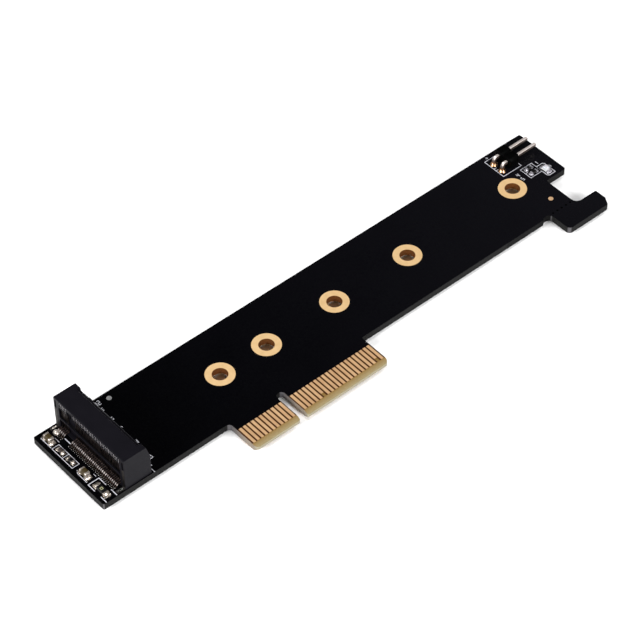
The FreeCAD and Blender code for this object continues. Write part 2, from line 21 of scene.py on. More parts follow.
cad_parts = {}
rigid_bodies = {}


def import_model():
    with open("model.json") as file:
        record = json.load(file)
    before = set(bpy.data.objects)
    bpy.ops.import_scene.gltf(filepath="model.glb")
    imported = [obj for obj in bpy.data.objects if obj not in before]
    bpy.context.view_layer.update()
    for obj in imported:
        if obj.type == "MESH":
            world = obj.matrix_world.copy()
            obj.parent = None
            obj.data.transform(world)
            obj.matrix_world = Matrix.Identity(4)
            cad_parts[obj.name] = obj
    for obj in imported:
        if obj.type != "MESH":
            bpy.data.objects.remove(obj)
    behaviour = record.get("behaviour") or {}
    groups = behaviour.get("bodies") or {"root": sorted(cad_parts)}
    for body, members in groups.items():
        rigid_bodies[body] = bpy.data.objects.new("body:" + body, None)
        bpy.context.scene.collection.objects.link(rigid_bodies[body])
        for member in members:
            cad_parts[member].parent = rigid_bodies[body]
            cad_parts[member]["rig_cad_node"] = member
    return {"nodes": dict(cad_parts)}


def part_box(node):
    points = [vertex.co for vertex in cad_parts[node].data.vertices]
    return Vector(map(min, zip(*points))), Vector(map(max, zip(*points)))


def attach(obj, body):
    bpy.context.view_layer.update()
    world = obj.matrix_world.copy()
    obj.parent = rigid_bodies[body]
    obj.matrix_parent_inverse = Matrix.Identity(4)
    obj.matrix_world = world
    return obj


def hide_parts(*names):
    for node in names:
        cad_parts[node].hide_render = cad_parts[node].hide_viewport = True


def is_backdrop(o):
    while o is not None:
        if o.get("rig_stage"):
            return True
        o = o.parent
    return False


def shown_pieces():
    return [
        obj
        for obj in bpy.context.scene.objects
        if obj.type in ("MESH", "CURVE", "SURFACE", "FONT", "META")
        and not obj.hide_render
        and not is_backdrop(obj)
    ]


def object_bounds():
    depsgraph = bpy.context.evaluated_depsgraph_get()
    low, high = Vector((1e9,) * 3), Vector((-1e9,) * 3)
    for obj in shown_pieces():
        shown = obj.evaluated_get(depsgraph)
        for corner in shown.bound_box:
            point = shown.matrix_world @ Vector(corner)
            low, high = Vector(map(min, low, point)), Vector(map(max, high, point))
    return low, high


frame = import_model()
cad_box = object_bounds()

LOG = logging.getLogger("adapter_card")
MM = 0.001
BODY = "root"
BOARD_WIDTH = 22.3  # millimetres, without the tongues and the hook

Point2 = tuple[float, float]
Point3 = tuple[float, float, float]
Colour = tuple[float, float, float]
Faces = list[tuple[int, ...]]
Place = Callable[[float, float, float], Sequence[float]]
Output = bpy.types.NodeSocket
Value = Union[float, Colour, Output]
Item = Union[bmesh.types.BMVert, bmesh.types.BMFace]
Items = Union[bmesh.types.BMVertSeq, bmesh.types.BMFaceSeq]


class End(Enum):
    """End of a part, as a sign along its length."""

    LOW = -1
    HIGH = 1


class Run(Enum):
    """Direction that a chip part lies in on the board."""

    ALONG_X = 0
    ALONG_Y = 1


# ---------------------------------------------------------------- materials

class Graph:
    """Node graph of one material, with short ways to add and join nodes."""

    def __init__(self, name: str) -> None:
        """Start a material.

        Args:
            name: Name of the material.
        """
        self.material = bpy.data.materials.new(name)
        self.material.use_nodes = True
        self.tree = self.material.node_tree
        self.shader = self.tree.nodes["Principled BSDF"]
        self.place = self.add("ShaderNodeTexCoord").outputs["Object"]

    def feed(self, socket: bpy.types.NodeSocket, value: Value) -> None:
        """Give an input socket a constant, or join another node's output to it.

        Args:
            socket: Input to fill.
            value: Number, colour, factors or output socket.
        """
        if isinstance(value, bpy.types.NodeSocket):
            self.tree.links.new(value, socket)
        elif socket.type == "RGBA":
            socket.default_value = (*value, 1.0)
        else:
            socket.default_value = value

    def fill(self, node: bpy.types.Node, values: dict[str, Value]) -> bpy.types.Node:
        """Fill inputs of a node by name.

        Args:
            node: Node to fill.
            values: Value for each input; underscores in a name stand for spaces.

        Returns:
            The same node.
        """
        for name, value in values.items():
            self.feed(node.inputs[name.replace("_", " ")], value)
        return node

    def add(self, kind: str, **values: Value) -> bpy.types.Node:
        """Add a node of one kind, with the inputs that are named filled."""
        return self.fill(self.tree.nodes.new(kind), values)

    def surface(self, **values: Value) -> None:
        """Fill inputs of the shader by name."""
        self.fill(self.shader, values)

    def math(self, operation: str, first: Value, second: Value = 0.0) -> Output:
        """Result of one sum or comparison.

        Args:
            operation: Name of the Math node's operation.
            first: First value.
            second: Second value.

        Returns:
            The node's output.
        """
        node = self.add("ShaderNodeMath")
        node.operation = operation
        self.feed(node.inputs[0], first)
        self.feed(node.inputs[1], second)
        return node.outputs[0]

    def noise(self, size_mm: float, detail: float = 2.0, stretch: Point3 = (1.0, 1.0, 1.0)) -> Output:
        """Cloudy value about 0.5, with features of a real size.

        Args:
            size_mm: Rough size of a feature.
            detail: Finer octaves to add.
            stretch: Factor on each coordinate; above 1 shortens the features in that direction.

        Returns:
            The noise value.
        """
        place = self.add("ShaderNodeMapping", Vector=self.place, Scale=stretch).outputs[0]
        node = self.add("ShaderNodeTexNoise", Vector=place, Scale=1.0 / (size_mm * MM), Detail=detail)
        return node.outputs["Fac"]

    def span(self, value: Value, low: float, high: float,
             out_low: float = 0.0, out_high: float = 1.0) -> Output:
        """Value carried from one range to another and held at its ends.

        Args:
            value: Value to carry over.
            low: Start of the first range.
            high: End of the first range.
            out_low: Start of the second range.
            out_high: End of the second range.

        Returns:
            The carried value.
        """
        node = self.add("ShaderNodeMapRange")
        for socket, number in zip(node.inputs, (value, low, high, out_low, out_high)):
            self.feed(socket, number)
        return node.outputs["Result"]

    def blend(self, share: Value, first: Value, second: Value) -> Output:
        """Colour between two others.

        Args:
            share: 0 for the first colour, 1 for the second.
            first: Colour or output socket.
            second: Colour or output socket.

        Returns:
            The mixed colour.
        """
        node = self.add("ShaderNodeMix")
        node.data_type = "RGBA"
        self.feed(node.inputs["Factor"], share)
        self.feed(node.inputs[6], first)
        self.feed(node.inputs[7], second)
        return node.outputs[2]

    def relief(self, height: Output, depth_mm: float) -> None:
        """Raise the surface by a height value, and by the whole depth where it is 1."""
        self.surface(Normal=self.add("ShaderNodeBump", Height=height, Distance=depth_mm * MM).outputs[0])

    def parts(self, vector: Output) -> tuple[Output, ...]:
        """X, Y and Z of a vector."""
        return tuple(self.add("ShaderNodeSeparateXYZ", Vector=vector).outputs)

    def position(self) -> tuple[Output, ...]:
        """X, Y and Z of the place on the card."""
        return self.parts(self.place)

    def facing(self) -> tuple[Output, ...]:
        """X, Y and Z of the way that the face looks."""
        return self.parts(self.add("ShaderNodeNewGeometry").outputs["True Normal"])

    def distance(self, value: Output, centre: float) -> Output:
        """Distance of a value from a fixed one."""
        return self.math("ABSOLUTE", self.math("SUBTRACT", value, centre))

    def off_contact(self, first_contact: float) -> Output:
        """Millimetres along X from the nearest edge contact; they follow the first at 1 mm."""
        along = self.math("SUBTRACT", self.position()[0], first_contact)
        return self.math("PINGPONG", self.math("MULTIPLY", along, 1.0 / MM), 0.5)


@dataclass(frozen=True)
class Finish:
    """A surface finish. Each kind says how its nodes are joined."""

    name: str

    def material(self) -> bpy.types.Material:
        """Material of this finish, made once and then shared.

        Returns:
            The material.
        """
        made = bpy.data.materials.get(self.name)
        if made is None:
            graph = Graph(self.name)
            self.join(graph)
            made = graph.material
        return made

    def join(self, graph: Graph) -> None:
        """Join the finish's nodes; each kind of finish has its own way."""
        raise NotImplementedError


@dataclass(frozen=True)
class TwoTone(Finish):
    """Finish that varies between two close tones."""

    colour: Colour
    shade: Colour

    def mixed(self, graph: Graph, share: Value) -> Output:
        """Tone at a share of the way from the colour to the shade."""
        return graph.blend(share, self.colour, self.shade)


@dataclass(frozen=True)
class Metal(TwoTone):
    """Plated, formed or tinned metal with small changes of tone and gloss."""

    roughness: float
    spread: float
    patch_mm: float
    metallic: float
    dimple_mm: float
    stretch: Point3 = (1.0, 1.0, 1.0)

    def join(self, graph: Graph) -> None:
        """Mix the two tones by a patchy noise and vary the gloss with a finer one.

        Args:
            graph: Graph to join the nodes in.
        """
        cloud = graph.noise(self.patch_mm, 3.0, self.stretch)
        fine = graph.noise(self.patch_mm / 6, 2.0, self.stretch)
        colour = self.tone(graph, self.mixed(graph, graph.span(cloud, 0.35, 0.68)))
        rough = graph.span(fine, 0.3, 0.7, self.roughness - self.spread, self.roughness + self.spread)
        graph.surface(Base_Color=colour, Metallic=self.metallic, Roughness=rough)
        graph.relief(fine, self.dimple_mm)

    def tone(self, graph: Graph, colour: Output) -> Output:
        """Change the mixed colour; plain metal leaves it as it is."""
        return colour


@dataclass(frozen=True)
class ContactGold(Metal):
    """Hard gold on the edge contacts, with painted shade in brown along each contact's long edges."""

    first_contact: float = 0.0
    # Brown of the painted shade along each contact's long edges.
    rim: Colour = (0.11, 0.034, 0.006)
    painted_shade_start_mm: float = 0.29
    painted_shade_end_mm: float = 0.34

    def tone(self, graph: Graph, colour: Output) -> Output:
        """Paint the shade on the long edges, by distance from the nearest contact's centre line."""
        # Painted shade along the contacts' long edges.
        in_painted_shade = graph.span(graph.off_contact(self.first_contact), self.painted_shade_start_mm, self.painted_shade_end_mm)
        return graph.blend(in_painted_shade, colour, self.rim)


@dataclass(frozen=True)
class StampedPin(Metal):
    """Pin stamped from plated strip: bright faces, painted shade on the sides facing +Y and -Y and on faces
    facing -X, browned near its solder.
    """

    dip_top: float = 0.0
    dip_fade: float = 0.0003
    # Painted shade on the sides that face +Y and -Y.
    side: Colour = (0.12, 0.09, 0.08)
    # Painted shade on faces that face -X.
    back: Colour = (0.22, 0.185, 0.17)
    dip: Colour = (0.20, 0.09, 0.04)

    def tone(self, graph: Graph, colour: Output) -> Output:
        """Paint shade on the sides facing +Y and -Y and on faces facing -X, and darken the part near the
        solder.

        Args:
            graph: Graph to join the nodes in.
            colour: Colour of the plating.

        Returns:
            The changed colour.
        """
        toward_x, toward_y, _ = graph.facing()
        height = graph.position()[2]
        # Painted shade on the sides facing +Y and -Y.
        colour = graph.blend(graph.span(graph.math("ABSOLUTE", toward_y), 0.6, 0.9), colour, self.side)
        # Painted shade on faces facing -X.
        in_back_shade = graph.span(graph.math("MULTIPLY", toward_x, -1.0), 0.5, 0.95)
        colour = graph.blend(in_back_shade, colour, self.back)
        return graph.blend(graph.span(height, self.dip_top - self.dip_fade, self.dip_top), self.dip, colour)


@dataclass(frozen=True)
class PlatedSpring(Finish):
    """Contact strip: painted highlight at the knee, dim foot, leg painted dark as shade, and pale plated
    shoulder.
    """

    middle: float
    knee_reach: float
    shoulder_bottom: float
    # Painted highlight on the bend at the knee.
    knee_highlight: Colour = (0.68, 0.61, 0.59)
    foot: Colour = (0.055, 0.036, 0.028)
    # Painted shade on the leg inside the housing.
    leg_shade: Colour = (0.035, 0.02, 0.014)
    shoulder: Colour = (0.96, 0.92, 0.95)
    leg_fade: float = 0.0001
    knee_end: float = 0.00025
    foot_start: float = 0.0004
    shoulder_fade: float = 0.0003

    def join(self, graph: Graph) -> None:
        """Paint a highlight at the knee and shade on the leg, by distance from the housing's middle, and pale
        the shoulder by height above the board.

        Args:
            graph: Graph to join the nodes in.
        """
        along, _, height = graph.position()
        streak = graph.noise(0.4, 3.0, (1.0, 1.0, 0.3))
        reach = graph.distance(along, self.middle)
        # Painted shade on the leg inside the housing.
        leg_shade = graph.blend(graph.span(streak, 0.3, 0.7, 0.0, 0.04), self.leg_shade, self.shoulder)
        on_foot = graph.span(reach, self.knee_reach + self.knee_end, self.knee_reach + self.foot_start)
        # Painted highlight at the knee.
        tail = graph.blend(on_foot, self.knee_highlight, self.foot)
        colour = graph.blend(graph.span(reach, self.knee_reach, self.knee_reach + self.leg_fade), leg_shade, tail)
        on_shoulder = graph.span(height, self.shoulder_bottom, self.shoulder_bottom + self.shoulder_fade)
        colour = graph.blend(on_shoulder, colour, self.shoulder)
        graph.surface(Base_Color=colour, Metallic=1.0, Roughness=graph.span(streak, 0.3, 0.7, 0.24, 0.4))


@dataclass(frozen=True)
class Moulded(TwoTone):
    """Moulded plastic with the fine grain that its tool leaves."""

    roughness: float
    gloss: float
    grain_mm: float = 0.12
    depth_mm: float = 0.004
    spread: float = 0.06

    def join(self, graph: Graph) -> None:
        """Mix two close tones and raise a fine grain.

        Args:
            graph: Graph to join the nodes in.
        """
        cloud = graph.noise(2.5, 2.0)
        grain = graph.noise(self.grain_mm, 3.0)
        rough = graph.span(grain, 0.3, 0.7, self.roughness - self.spread, self.roughness + self.spread)
        graph.surface(Base_Color=self.mixed(graph, graph.span(cloud, 0.3, 0.7)), Roughness=rough,
                      Specular_IOR_Level=self.gloss)
        graph.relief(grain, self.depth_mm)


@dataclass(frozen=True)
class Fired(TwoTone):
    """Fired ceramic or glazed coating, lightly speckled."""

    roughness: float
    gloss: float
    speckle_mm: float = 0.07
    depth_mm: float = 0.003
    spread: float = 0.08

    def join(self, graph: Graph) -> None:
        """Speckle one tone with the other.

        Args:
            graph: Graph to join the nodes in.
        """
        speck = graph.noise(self.speckle_mm, 2.0)
        cloud = graph.noise(0.8, 2.0)
        share = graph.math("MULTIPLY", graph.span(speck, 0.45, 0.7), graph.span(cloud, 0.2, 0.8, 0.4, 1.0))
        rough = graph.span(cloud, 0.3, 0.7, self.roughness - self.spread, self.roughness + self.spread)
        graph.surface(Base_Color=self.mixed(graph, share), Roughness=rough, Specular_IOR_Level=self.gloss)
        graph.relief(speck, self.depth_mm)


@dataclass(frozen=True)
class LensResin(TwoTone):
    """Clear resin over a pale chip."""

    def join(self, graph: Graph) -> None:
        """Let a little light into a pale body.

        Args:
            graph: Graph to join the nodes in.
        """
        cloud = graph.noise(0.35, 2.0)
        graph.surface(Base_Color=self.mixed(graph, graph.span(cloud, 0.35, 0.65)),
                      Roughness=graph.span(cloud, 0.3, 0.7, 0.12, 0.25), Coat_Weight=0.5,
                      Subsurface_Weight=0.15, Subsurface_Scale=0.0004)


@dataclass(frozen=True)
class Ink(TwoTone):
    """Printed legend ink, thin enough to let the mask through in places."""

    def join(self, graph: Graph) -> None:
        """Thin the ink by a fine noise.

        Args:
            graph: Graph to join the nodes in.
        """
        worn = graph.noise(0.16, 3.0)
        graph.surface(Base_Color=self.mixed(graph, graph.span(worn, 0.5, 0.8, 0.0, 0.6)),
                      Roughness=graph.span(worn, 0.3, 0.7, 0.45, 0.7), Specular_IOR_Level=0.3)


@dataclass(frozen=True)
class Laminate(Finish):
    """Glass-fibre laminate: masked faces, bare connector tip, cut edges and plated bores.

    A line is a place along Y. The places come first, then the colours, the two finishes of a
    face, and how faces are told apart: by the upright part of the way that they look, and for the
    painted highlight on walls by their share of -X and of -Y.
    """

    # X where the mask's painted sheen starts and ends: the mask is painted lighter toward the hook end.
    sheen_from: float
    sheen_to: float
    mask_line: float
    contact_line: float
    near_line: float
    tip_line: float
    tongue_right: float
    snap_line: float
    snap_left: float
    first_contact: float
    bores: tuple[Point2, ...]
    bore_radius: float
    mask: Colour = (0.0003, 0.0003, 0.0006)
    # Lightest mask tone, a painted sheen at the hook end.
    mask_painted_sheen: Colour = (0.0031, 0.0030, 0.0041)
    between_contacts: Colour = (0.040, 0.013, 0.003)
    bare: Colour = (0.175, 0.105, 0.033)
    bare_shade: Colour = (0.145, 0.085, 0.025)
    tip: Colour = (0.225, 0.185, 0.10)
    tip_shade: Colour = (0.195, 0.155, 0.078)
    edge: Colour = (0.003, 0.003, 0.003)
    edge_shade: Colour = (0.007, 0.0068, 0.0065)
    # Grey of the painted highlight on walls facing -X and -Y; the tongues' walls also turn to it toward their
    # roots.
    corner: Colour = (0.065, 0.062, 0.066)
    # Snap-hole walls painted black as shade in the holes.
    snap_wall_shade: Colour = (0.0, 0.0, 0.0)
    tongue_edge: Colour = (0.195, 0.17, 0.148)
    tongue_tip: Colour = (0.23, 0.208, 0.148)
    # Plating of the screw holes' walls, darker than the rings' gold: painted shade inside the holes.
    bore_plating_and_shade: Colour = (0.24, 0.095, 0.03)
    bare_roughness: float = 0.62
    mask_roughness: float = 0.24
    flat_above: float = 0.985
    wall_below: float = 0.4
    slant: float = -0.707
    snap_half: float = 0.0003

    def near_bore(self, graph: Graph, east: Output, north: Output) -> Output:
        """1 where a point is on the wall of a screw hole.

        Args:
            graph: Graph to join the nodes in.
            east: X of the point.
            north: Y of the point.

        Returns:
            The 1 or 0.
        """
        nearest: Value = 1.0
        for x, y in self.bores:
            off_x, off_y = graph.math("SUBTRACT", east, x), graph.math("SUBTRACT", north, y)
            square_x, square_y = graph.math("MULTIPLY", off_x, off_x), graph.math("MULTIPLY", off_y, off_y)
            nearest = graph.math("MINIMUM", nearest, graph.math("ADD", square_x, square_y))
        return graph.math("LESS_THAN", nearest, (self.bore_radius * 1.1) ** 2)

    def bare_tone(self, graph: Graph, line: Output) -> Output:
        """Bare laminate, paler toward the bevelled tip.

        Args:
            graph: Graph to join the nodes in.
            line: Place along Y.

        Returns:
            The colour.
        """
        weave = graph.span(graph.noise(0.5, 3.0, (1.0, 2.5, 1.0)), 0.35, 0.7)
        return graph.blend(graph.span(line, self.tip_line, self.contact_line),
                           graph.blend(weave, self.tip, self.tip_shade),
                           graph.blend(weave, self.bare, self.bare_shade))

    def face_tone(self, graph: Graph, east: Output, line: Output, bare: Output) -> Output:
        """Flat faces: mask with a painted sheen that lightens it along X, the gaps between the edge contacts,
        and bare laminate.

        Args:
            graph: Graph to join the nodes in.
            east: Place along X.
            line: Place along Y.
            bare: Colour of the bare laminate.

        Returns:
            The colour.
        """
        cloud = graph.noise(9.0, 3.0)
        drift = graph.math("ADD", east, graph.span(cloud, 0.3, 0.7, -0.006, 0.006))
        # Painted sheen: the mask is painted lighter toward the hook end.
        mask = graph.blend(graph.span(drift, self.sheen_from, self.sheen_to), self.mask, self.mask_painted_sheen)
        off_contact = graph.math("GREATER_THAN", graph.off_contact(self.first_contact), 0.3)
        gap = graph.math("MULTIPLY", off_contact, graph.math("GREATER_THAN", line, self.contact_line))
        face = graph.blend(gap, bare, self.between_contacts)
        return graph.blend(graph.math("LESS_THAN", line, self.mask_line), mask, face)

    def routed_tone(self, graph: Graph, east: Output, north: Output, fibre: Output) -> Output:
        """Cut edges of the board: dark walls, a painted highlight on walls facing -X and -Y (the rounded
        corners), and snap-hole walls painted black as shade.

        Args:
            graph: Graph to join the nodes in.
            east: Place along X.
            north: Place along Y.
            fibre: Streaks of the glass cloth's layers.

        Returns:
            The colour.
        """
        cut = graph.blend(graph.span(fibre, 0.35, 0.65), self.edge, self.edge_shade)
        toward_x, toward_y, _ = graph.facing()
        toward_highlight = graph.math("ADD", graph.math("MULTIPLY", toward_x, self.slant),
                            graph.math("MULTIPLY", toward_y, self.slant))
        # Painted highlight on walls that face -X and -Y.
        cut = graph.blend(graph.span(toward_highlight, 0.86, 0.98), cut, self.corner)
        beside_snap = graph.math("GREATER_THAN", graph.distance(north, self.snap_line), self.snap_half)
        off_snap = graph.math("MAXIMUM", beside_snap, graph.math("LESS_THAN", east, self.snap_left))
        # Painted shade: the snap holes' walls are black.
        return graph.blend(off_snap, self.snap_wall_shade, cut)

    def tongue_tone(self, graph: Graph, line: Output, fibre: Output) -> Output:
        """Cut edges of the tongues, with a blunt pale tip and a grey root.

        Args:
            graph: Graph to join the nodes in.
            line: Place along Y.
            fibre: Streaks of the glass cloth's layers.

        Returns:
            The colour.
        """
        side = graph.blend(graph.span(fibre, 0.3, 0.75, 0.0, 0.5), self.tongue_edge, self.bare)
        past_tip = graph.span(line, self.tip_line + 0.0001, self.tip_line + 0.0009)
        root = graph.span(line, self.near_line - 0.0045, self.near_line)
        return graph.blend(root, graph.blend(past_tip, self.tongue_tip, side), self.corner)

    def join(self, graph: Graph) -> None:
        """Choose the finish by the way a face looks and by its place on the board.

        Args:
            graph: Graph to join the nodes in.
        """
        east, north, _ = graph.position()
        line = graph.math("ADD", north, graph.math("GREATER_THAN", east, self.tongue_right))
        upright = graph.math("ABSOLUTE", graph.facing()[2])
        flat = graph.math("GREATER_THAN", upright, self.flat_above)
        wall = graph.math("LESS_THAN", upright, self.wall_below)
        fibre = graph.noise(0.9, 4.0, (1.0, 1.0, 7.0))
        peel = graph.noise(0.35, 2.0)
        in_bore = self.near_bore(graph, east, north)
        bare = self.bare_tone(graph, line)
        cut = graph.blend(graph.math("LESS_THAN", line, self.near_line),
                          self.routed_tone(graph, east, north, fibre), self.tongue_tone(graph, line, fibre))
        # Screw holes' walls: plating darkened as painted shade.
        cut = graph.blend(in_bore, cut, self.bore_plating_and_shade)
        colour = graph.blend(flat, graph.blend(wall, bare, cut), self.face_tone(graph, east, line, bare))
        masked = graph.math("MULTIPLY", flat, graph.math("GREATER_THAN", line, self.mask_line))
        rough = graph.math("ADD", graph.span(masked, 0.0, 1.0, self.bare_roughness, self.mask_roughness),
                           graph.span(peel, 0.3, 0.7, -0.04, 0.05))
        graph.surface(Base_Color=colour, Roughness=rough, Metallic=graph.math("MULTIPLY", in_bore, wall),
                      Specular_IOR_Level=0.09)
        height = graph.math("ADD", graph.math("MULTIPLY", peel, 0.12), graph.math("MULTIPLY", fibre, wall))
        graph.relief(height, 0.02)


@dataclass(frozen=True)
class Backdrop(TwoTone):
    """Matt pale paper."""

    def join(self, graph: Graph) -> None:
        """Mottle the paper slightly."""
        colour = self.mixed(graph, graph.noise(6.0, 3.0))
        graph.surface(Base_Color=colour, Roughness=0.9, Specular_IOR_Level=0.1)


# ---------------------------------------------------------------- meshes

@dataclass(frozen=True)
class Heap:
    """Shape of one heap of solder: half sizes of its foot, rise, and how its sides draw in."""

    reach: Point2
    height: float
    power: float
    rings: int
    segments: int


def ring(centre: Point2, reach: Point2, height: float, segments: int) -> list[Point3]:
    """One level ring of points.

    Args:
        centre: Its middle.
        reach: Its half sizes along X and Y.
        height: Its height.
        segments: Points in it.

    Returns:
        The points in order.
    """
    turns = [2 * math.pi * i / segments for i in range(segments)]
    return [(centre[0] + reach[0] * math.cos(turn), centre[1] + reach[1] * math.sin(turn), height)
            for turn in turns]


def ring_walls(rings: int, segments: int) -> Faces:
    """Faces that join rings of points, each to the next.

    Args:
        rings: How many rings there are.
        segments: Points in each ring.

    Returns:
        The point numbers of each face.
    """
    made: Faces = []
    for k in range(0, (rings - 1) * segments, segments):
        for i in range(segments):
            j = (i + 1) % segments
            made.append((k + i, k + j, k + segments + j, k + segments + i))
    return made


class Forge:
    """Gathers the faces of one piece, in millimetres in the card's frame."""

    def __init__(self) -> None:
        """Start with no faces."""
        self.mesh = bmesh.new()

    def faces(self, points: Sequence[Sequence[float]], loops: Faces) -> list[bmesh.types.BMVert]:
        """Add faces through numbered points.

        Args:
            points: Places of the new vertices.
            loops: For each face, the numbers of its vertices in order.

        Returns:
            The new vertices.
        """
        made = [self.mesh.verts.new(point) for point in points]
        for loop in loops:
            self.mesh.faces.new([made[i] for i in loop])
        return made

    def block(self, low: Sequence[float], high: Sequence[float], radius: float, segments: int = 3) -> None:
        """Add a box with rounded edges.

        Args:
            low: Lowest corner.
            high: Highest corner.
            radius: Radius of every edge.
            segments: Flats in each rounded edge.
        """
        corners = [[(low, high)[(i >> k) & 1][k] for k in range(3)] for i in range(8)]
        loops = [(0, 2, 3, 1), (4, 5, 7, 6), (0, 1, 5, 4), (2, 6, 7, 3), (0, 4, 6, 2), (1, 3, 7, 5)]
        made = self.faces(corners, loops)
        edges = list(dict.fromkeys(edge for vert in made for edge in vert.link_edges))
        bmesh.ops.bevel(self.mesh, geom=edges, offset=radius, segments=segments, profile=0.5,
                        affect="EDGES", clamp_overlap=True)

    def prism(self, outline: Sequence[Point2], low: float, high: float, place: Place) -> None:
        """Add an outline carried along a straight way.

        Args:
            outline: Corners in the outline's plane.
            low: Start along the way.
            high: End along the way.
            place: Turns the outline's two coordinates and the way into a point.
        """
        count = len(outline)
        points = [place(a, b, way) for way in (low, high) for a, b in outline]
        ends = [tuple(range(count))[::-1], tuple(range(count, 2 * count))]
        self.faces(points, ends + ring_walls(2, count))

    def stroke(self, points: Sequence[Point2], width: float, low: float, high: float,
               closed: bool = False) -> None:
        """Add a flat printed line.

        Args:
            points: Line through these places.
            width: Width of the line.
            low: Height of its underside.
            high: Height of its top.
            closed: Whether the line comes back to its start.
        """
        line = [Vector(point) for point in points]
        count = len(line)
        left, right = [], []
        for i, here in enumerate(line):
            ways = []
            if i or closed:
                ways.append((here - line[i - 1]).normalized())
            if i < count - 1 or closed:
                ways.append((line[(i + 1) % count] - here).normalized())
            normals = [Vector((-way.y, way.x)) for way in ways]
            mitre = (normals[0] + normals[-1]).normalized()
            side = mitre * (width / 2 / max(0.4, mitre.dot(normals[0])))
            left.append(here + side)
            right.append(here - side)
        box = [(3, 2, 1, 0), (4, 5, 6, 7)] + ring_walls(2, 4)
        for i in range(count if closed else count - 1):
            j = (i + 1) % count
            corners = (left[i], right[i], right[j], left[j])
            self.faces([(p.x, p.y, height) for height in (low, high) for p in corners], box)

    def dome(self, centre: Point3, heap: Heap) -> None:
        """Add a round-footed heap of solder.

        Args:
            centre: Middle of its foot.
            heap: Its shape.
        """
        points: list[Point3] = []
        for k in range(heap.rings):
            out = 1.0 - k / heap.rings
            rise = heap.height * (1.0 - out * out) ** heap.power
            reach = (heap.reach[0] * out, heap.reach[1] * out)
            points += ring(centre[:2], reach, centre[2] + rise, heap.segments)
        top = len(points)
        points.append((centre[0], centre[1], centre[2] + heap.height))
        last = top - heap.segments
        loops = ring_walls(heap.rings, heap.segments)
        loops += [(last + i, last + (i + 1) % heap.segments, top) for i in range(heap.segments)]
        loops.append(tuple(range(heap.segments))[::-1])
        self.faces(points, loops)

    def lathe(self, centre: Point2, profile: Sequence[Point2], segments: int = 28) -> None:
        """Add a closed round body.

        Args:
            centre: Place of its upright axis.
            profile: Radius and height, from one end to the other.
            segments: Points in each ring.
        """
        points: list[Point3] = []
        for radius, height in profile:
            points += ring(centre, (radius, radius), height, segments)
        loops = ring_walls(len(profile), segments)
        loops.append(tuple(range(segments))[::-1])
        loops.append(tuple(range(len(points) - segments, len(points))))
        self.faces(points, loops)

    def slope(self, place: Place, reach: float, half_width: float, height: float, steps: int = 7) -> None:
        """Add a solder fillet that runs down from a part's end to its land.

        Args:
            place: Turns distance outward, distance across and rise into a point.
            reach: Length of the fillet.
            half_width: Half its width at the part.
            height: Rise against the part.
            steps: Cells along and across.
        """
        lip, thinnest = 0.03, 0.004
        top, bottom = [], []
        for i in range(steps + 1):
            t = i / steps
            half = half_width * (1 + 0.12 * math.sin(math.pi * t)) * (1 - 0.25 * t ** 5)
            for k in range(steps + 1):
                s = 2 * k / steps - 1
                rise = height * (1 - t) ** 1.9 * (1 - 0.55 * abs(s) ** 3) + lip * (1 - t ** 6)
                top.append(place(reach * t, half * s, max(thinnest, rise)))
                bottom.append(place(reach * t, half * s, 0.0))
        row = steps + 1
        under = row * row
        loops: Faces = []
        for i in range(steps):
            for k in range(steps):
                a, b = i * row + k, (i + 1) * row + k
                loops.append((a, b, b + 1, a + 1))
                loops.append((under + a, under + a + 1, under + b + 1, under + b))
        rim = list(range(row)) + [i * row + steps for i in range(1, row)]
        rim += [steps * row + k for k in range(steps - 1, -1, -1)]
        rim += [i * row for i in range(steps - 1, 0, -1)]
        for a, b in zip(rim, rim[1:] + rim[:1]):
            loops.append((a, b, under + b, under + a))
        self.faces(top + bottom, loops)

    def piece(self, name: str, smooth_deg: float = 35.0) -> bpy.types.Object:
        """Turn the gathered faces into an object of the scene.

        Args:
            name: Name of the piece.
            smooth_deg: Edges flatter than this are shaded smooth.

        Returns:
            The new object, in metres.
        """
        bmesh.ops.scale(self.mesh, vec=(MM, MM, MM), verts=self.mesh.verts)
        bmesh.ops.recalc_face_normals(self.mesh, faces=self.mesh.faces)
        return placed(self.mesh, name, smooth_deg)


def settle(items: Items, place: Callable[[Item], Vector]) -> None:
    """Number vertices or faces by their places, because bevels number them differently each run.

    Args:
        items: Vertices or faces of one mesh.
        place: Gives the place of one of them.
    """
    for number, item in enumerate(sorted(items, key=lambda item: tuple(place(item)))):
        item.index = number
    items.sort()


def placed(mesh: bmesh.types.BMesh, name: str, smooth_deg: float) -> bpy.types.Object:
    """Put a finished mesh in the scene, shaded smooth with its sharper edges kept.

    Args:
        mesh: Its faces, which are freed.
        name: Name of the new object.
        smooth_deg: Edges sharper than this stay hard.

    Returns:
        The new object.
    """
    settle(mesh.verts, lambda vert: vert.co)
    settle(mesh.faces, lambda face: face.calc_center_median())
    mesh.normal_update()
    for face in mesh.faces:
        face.smooth = True
    limit = math.radians(smooth_deg)
    for edge in mesh.edges:
        edge.smooth = len(edge.link_faces) == 2 and edge.calc_face_angle(0.0) < limit
    data = bpy.data.meshes.new(name)
    mesh.to_mesh(data)
    mesh.free()
    made = bpy.data.objects.new(name, data)
    bpy.context.scene.collection.objects.link(made)
    return made


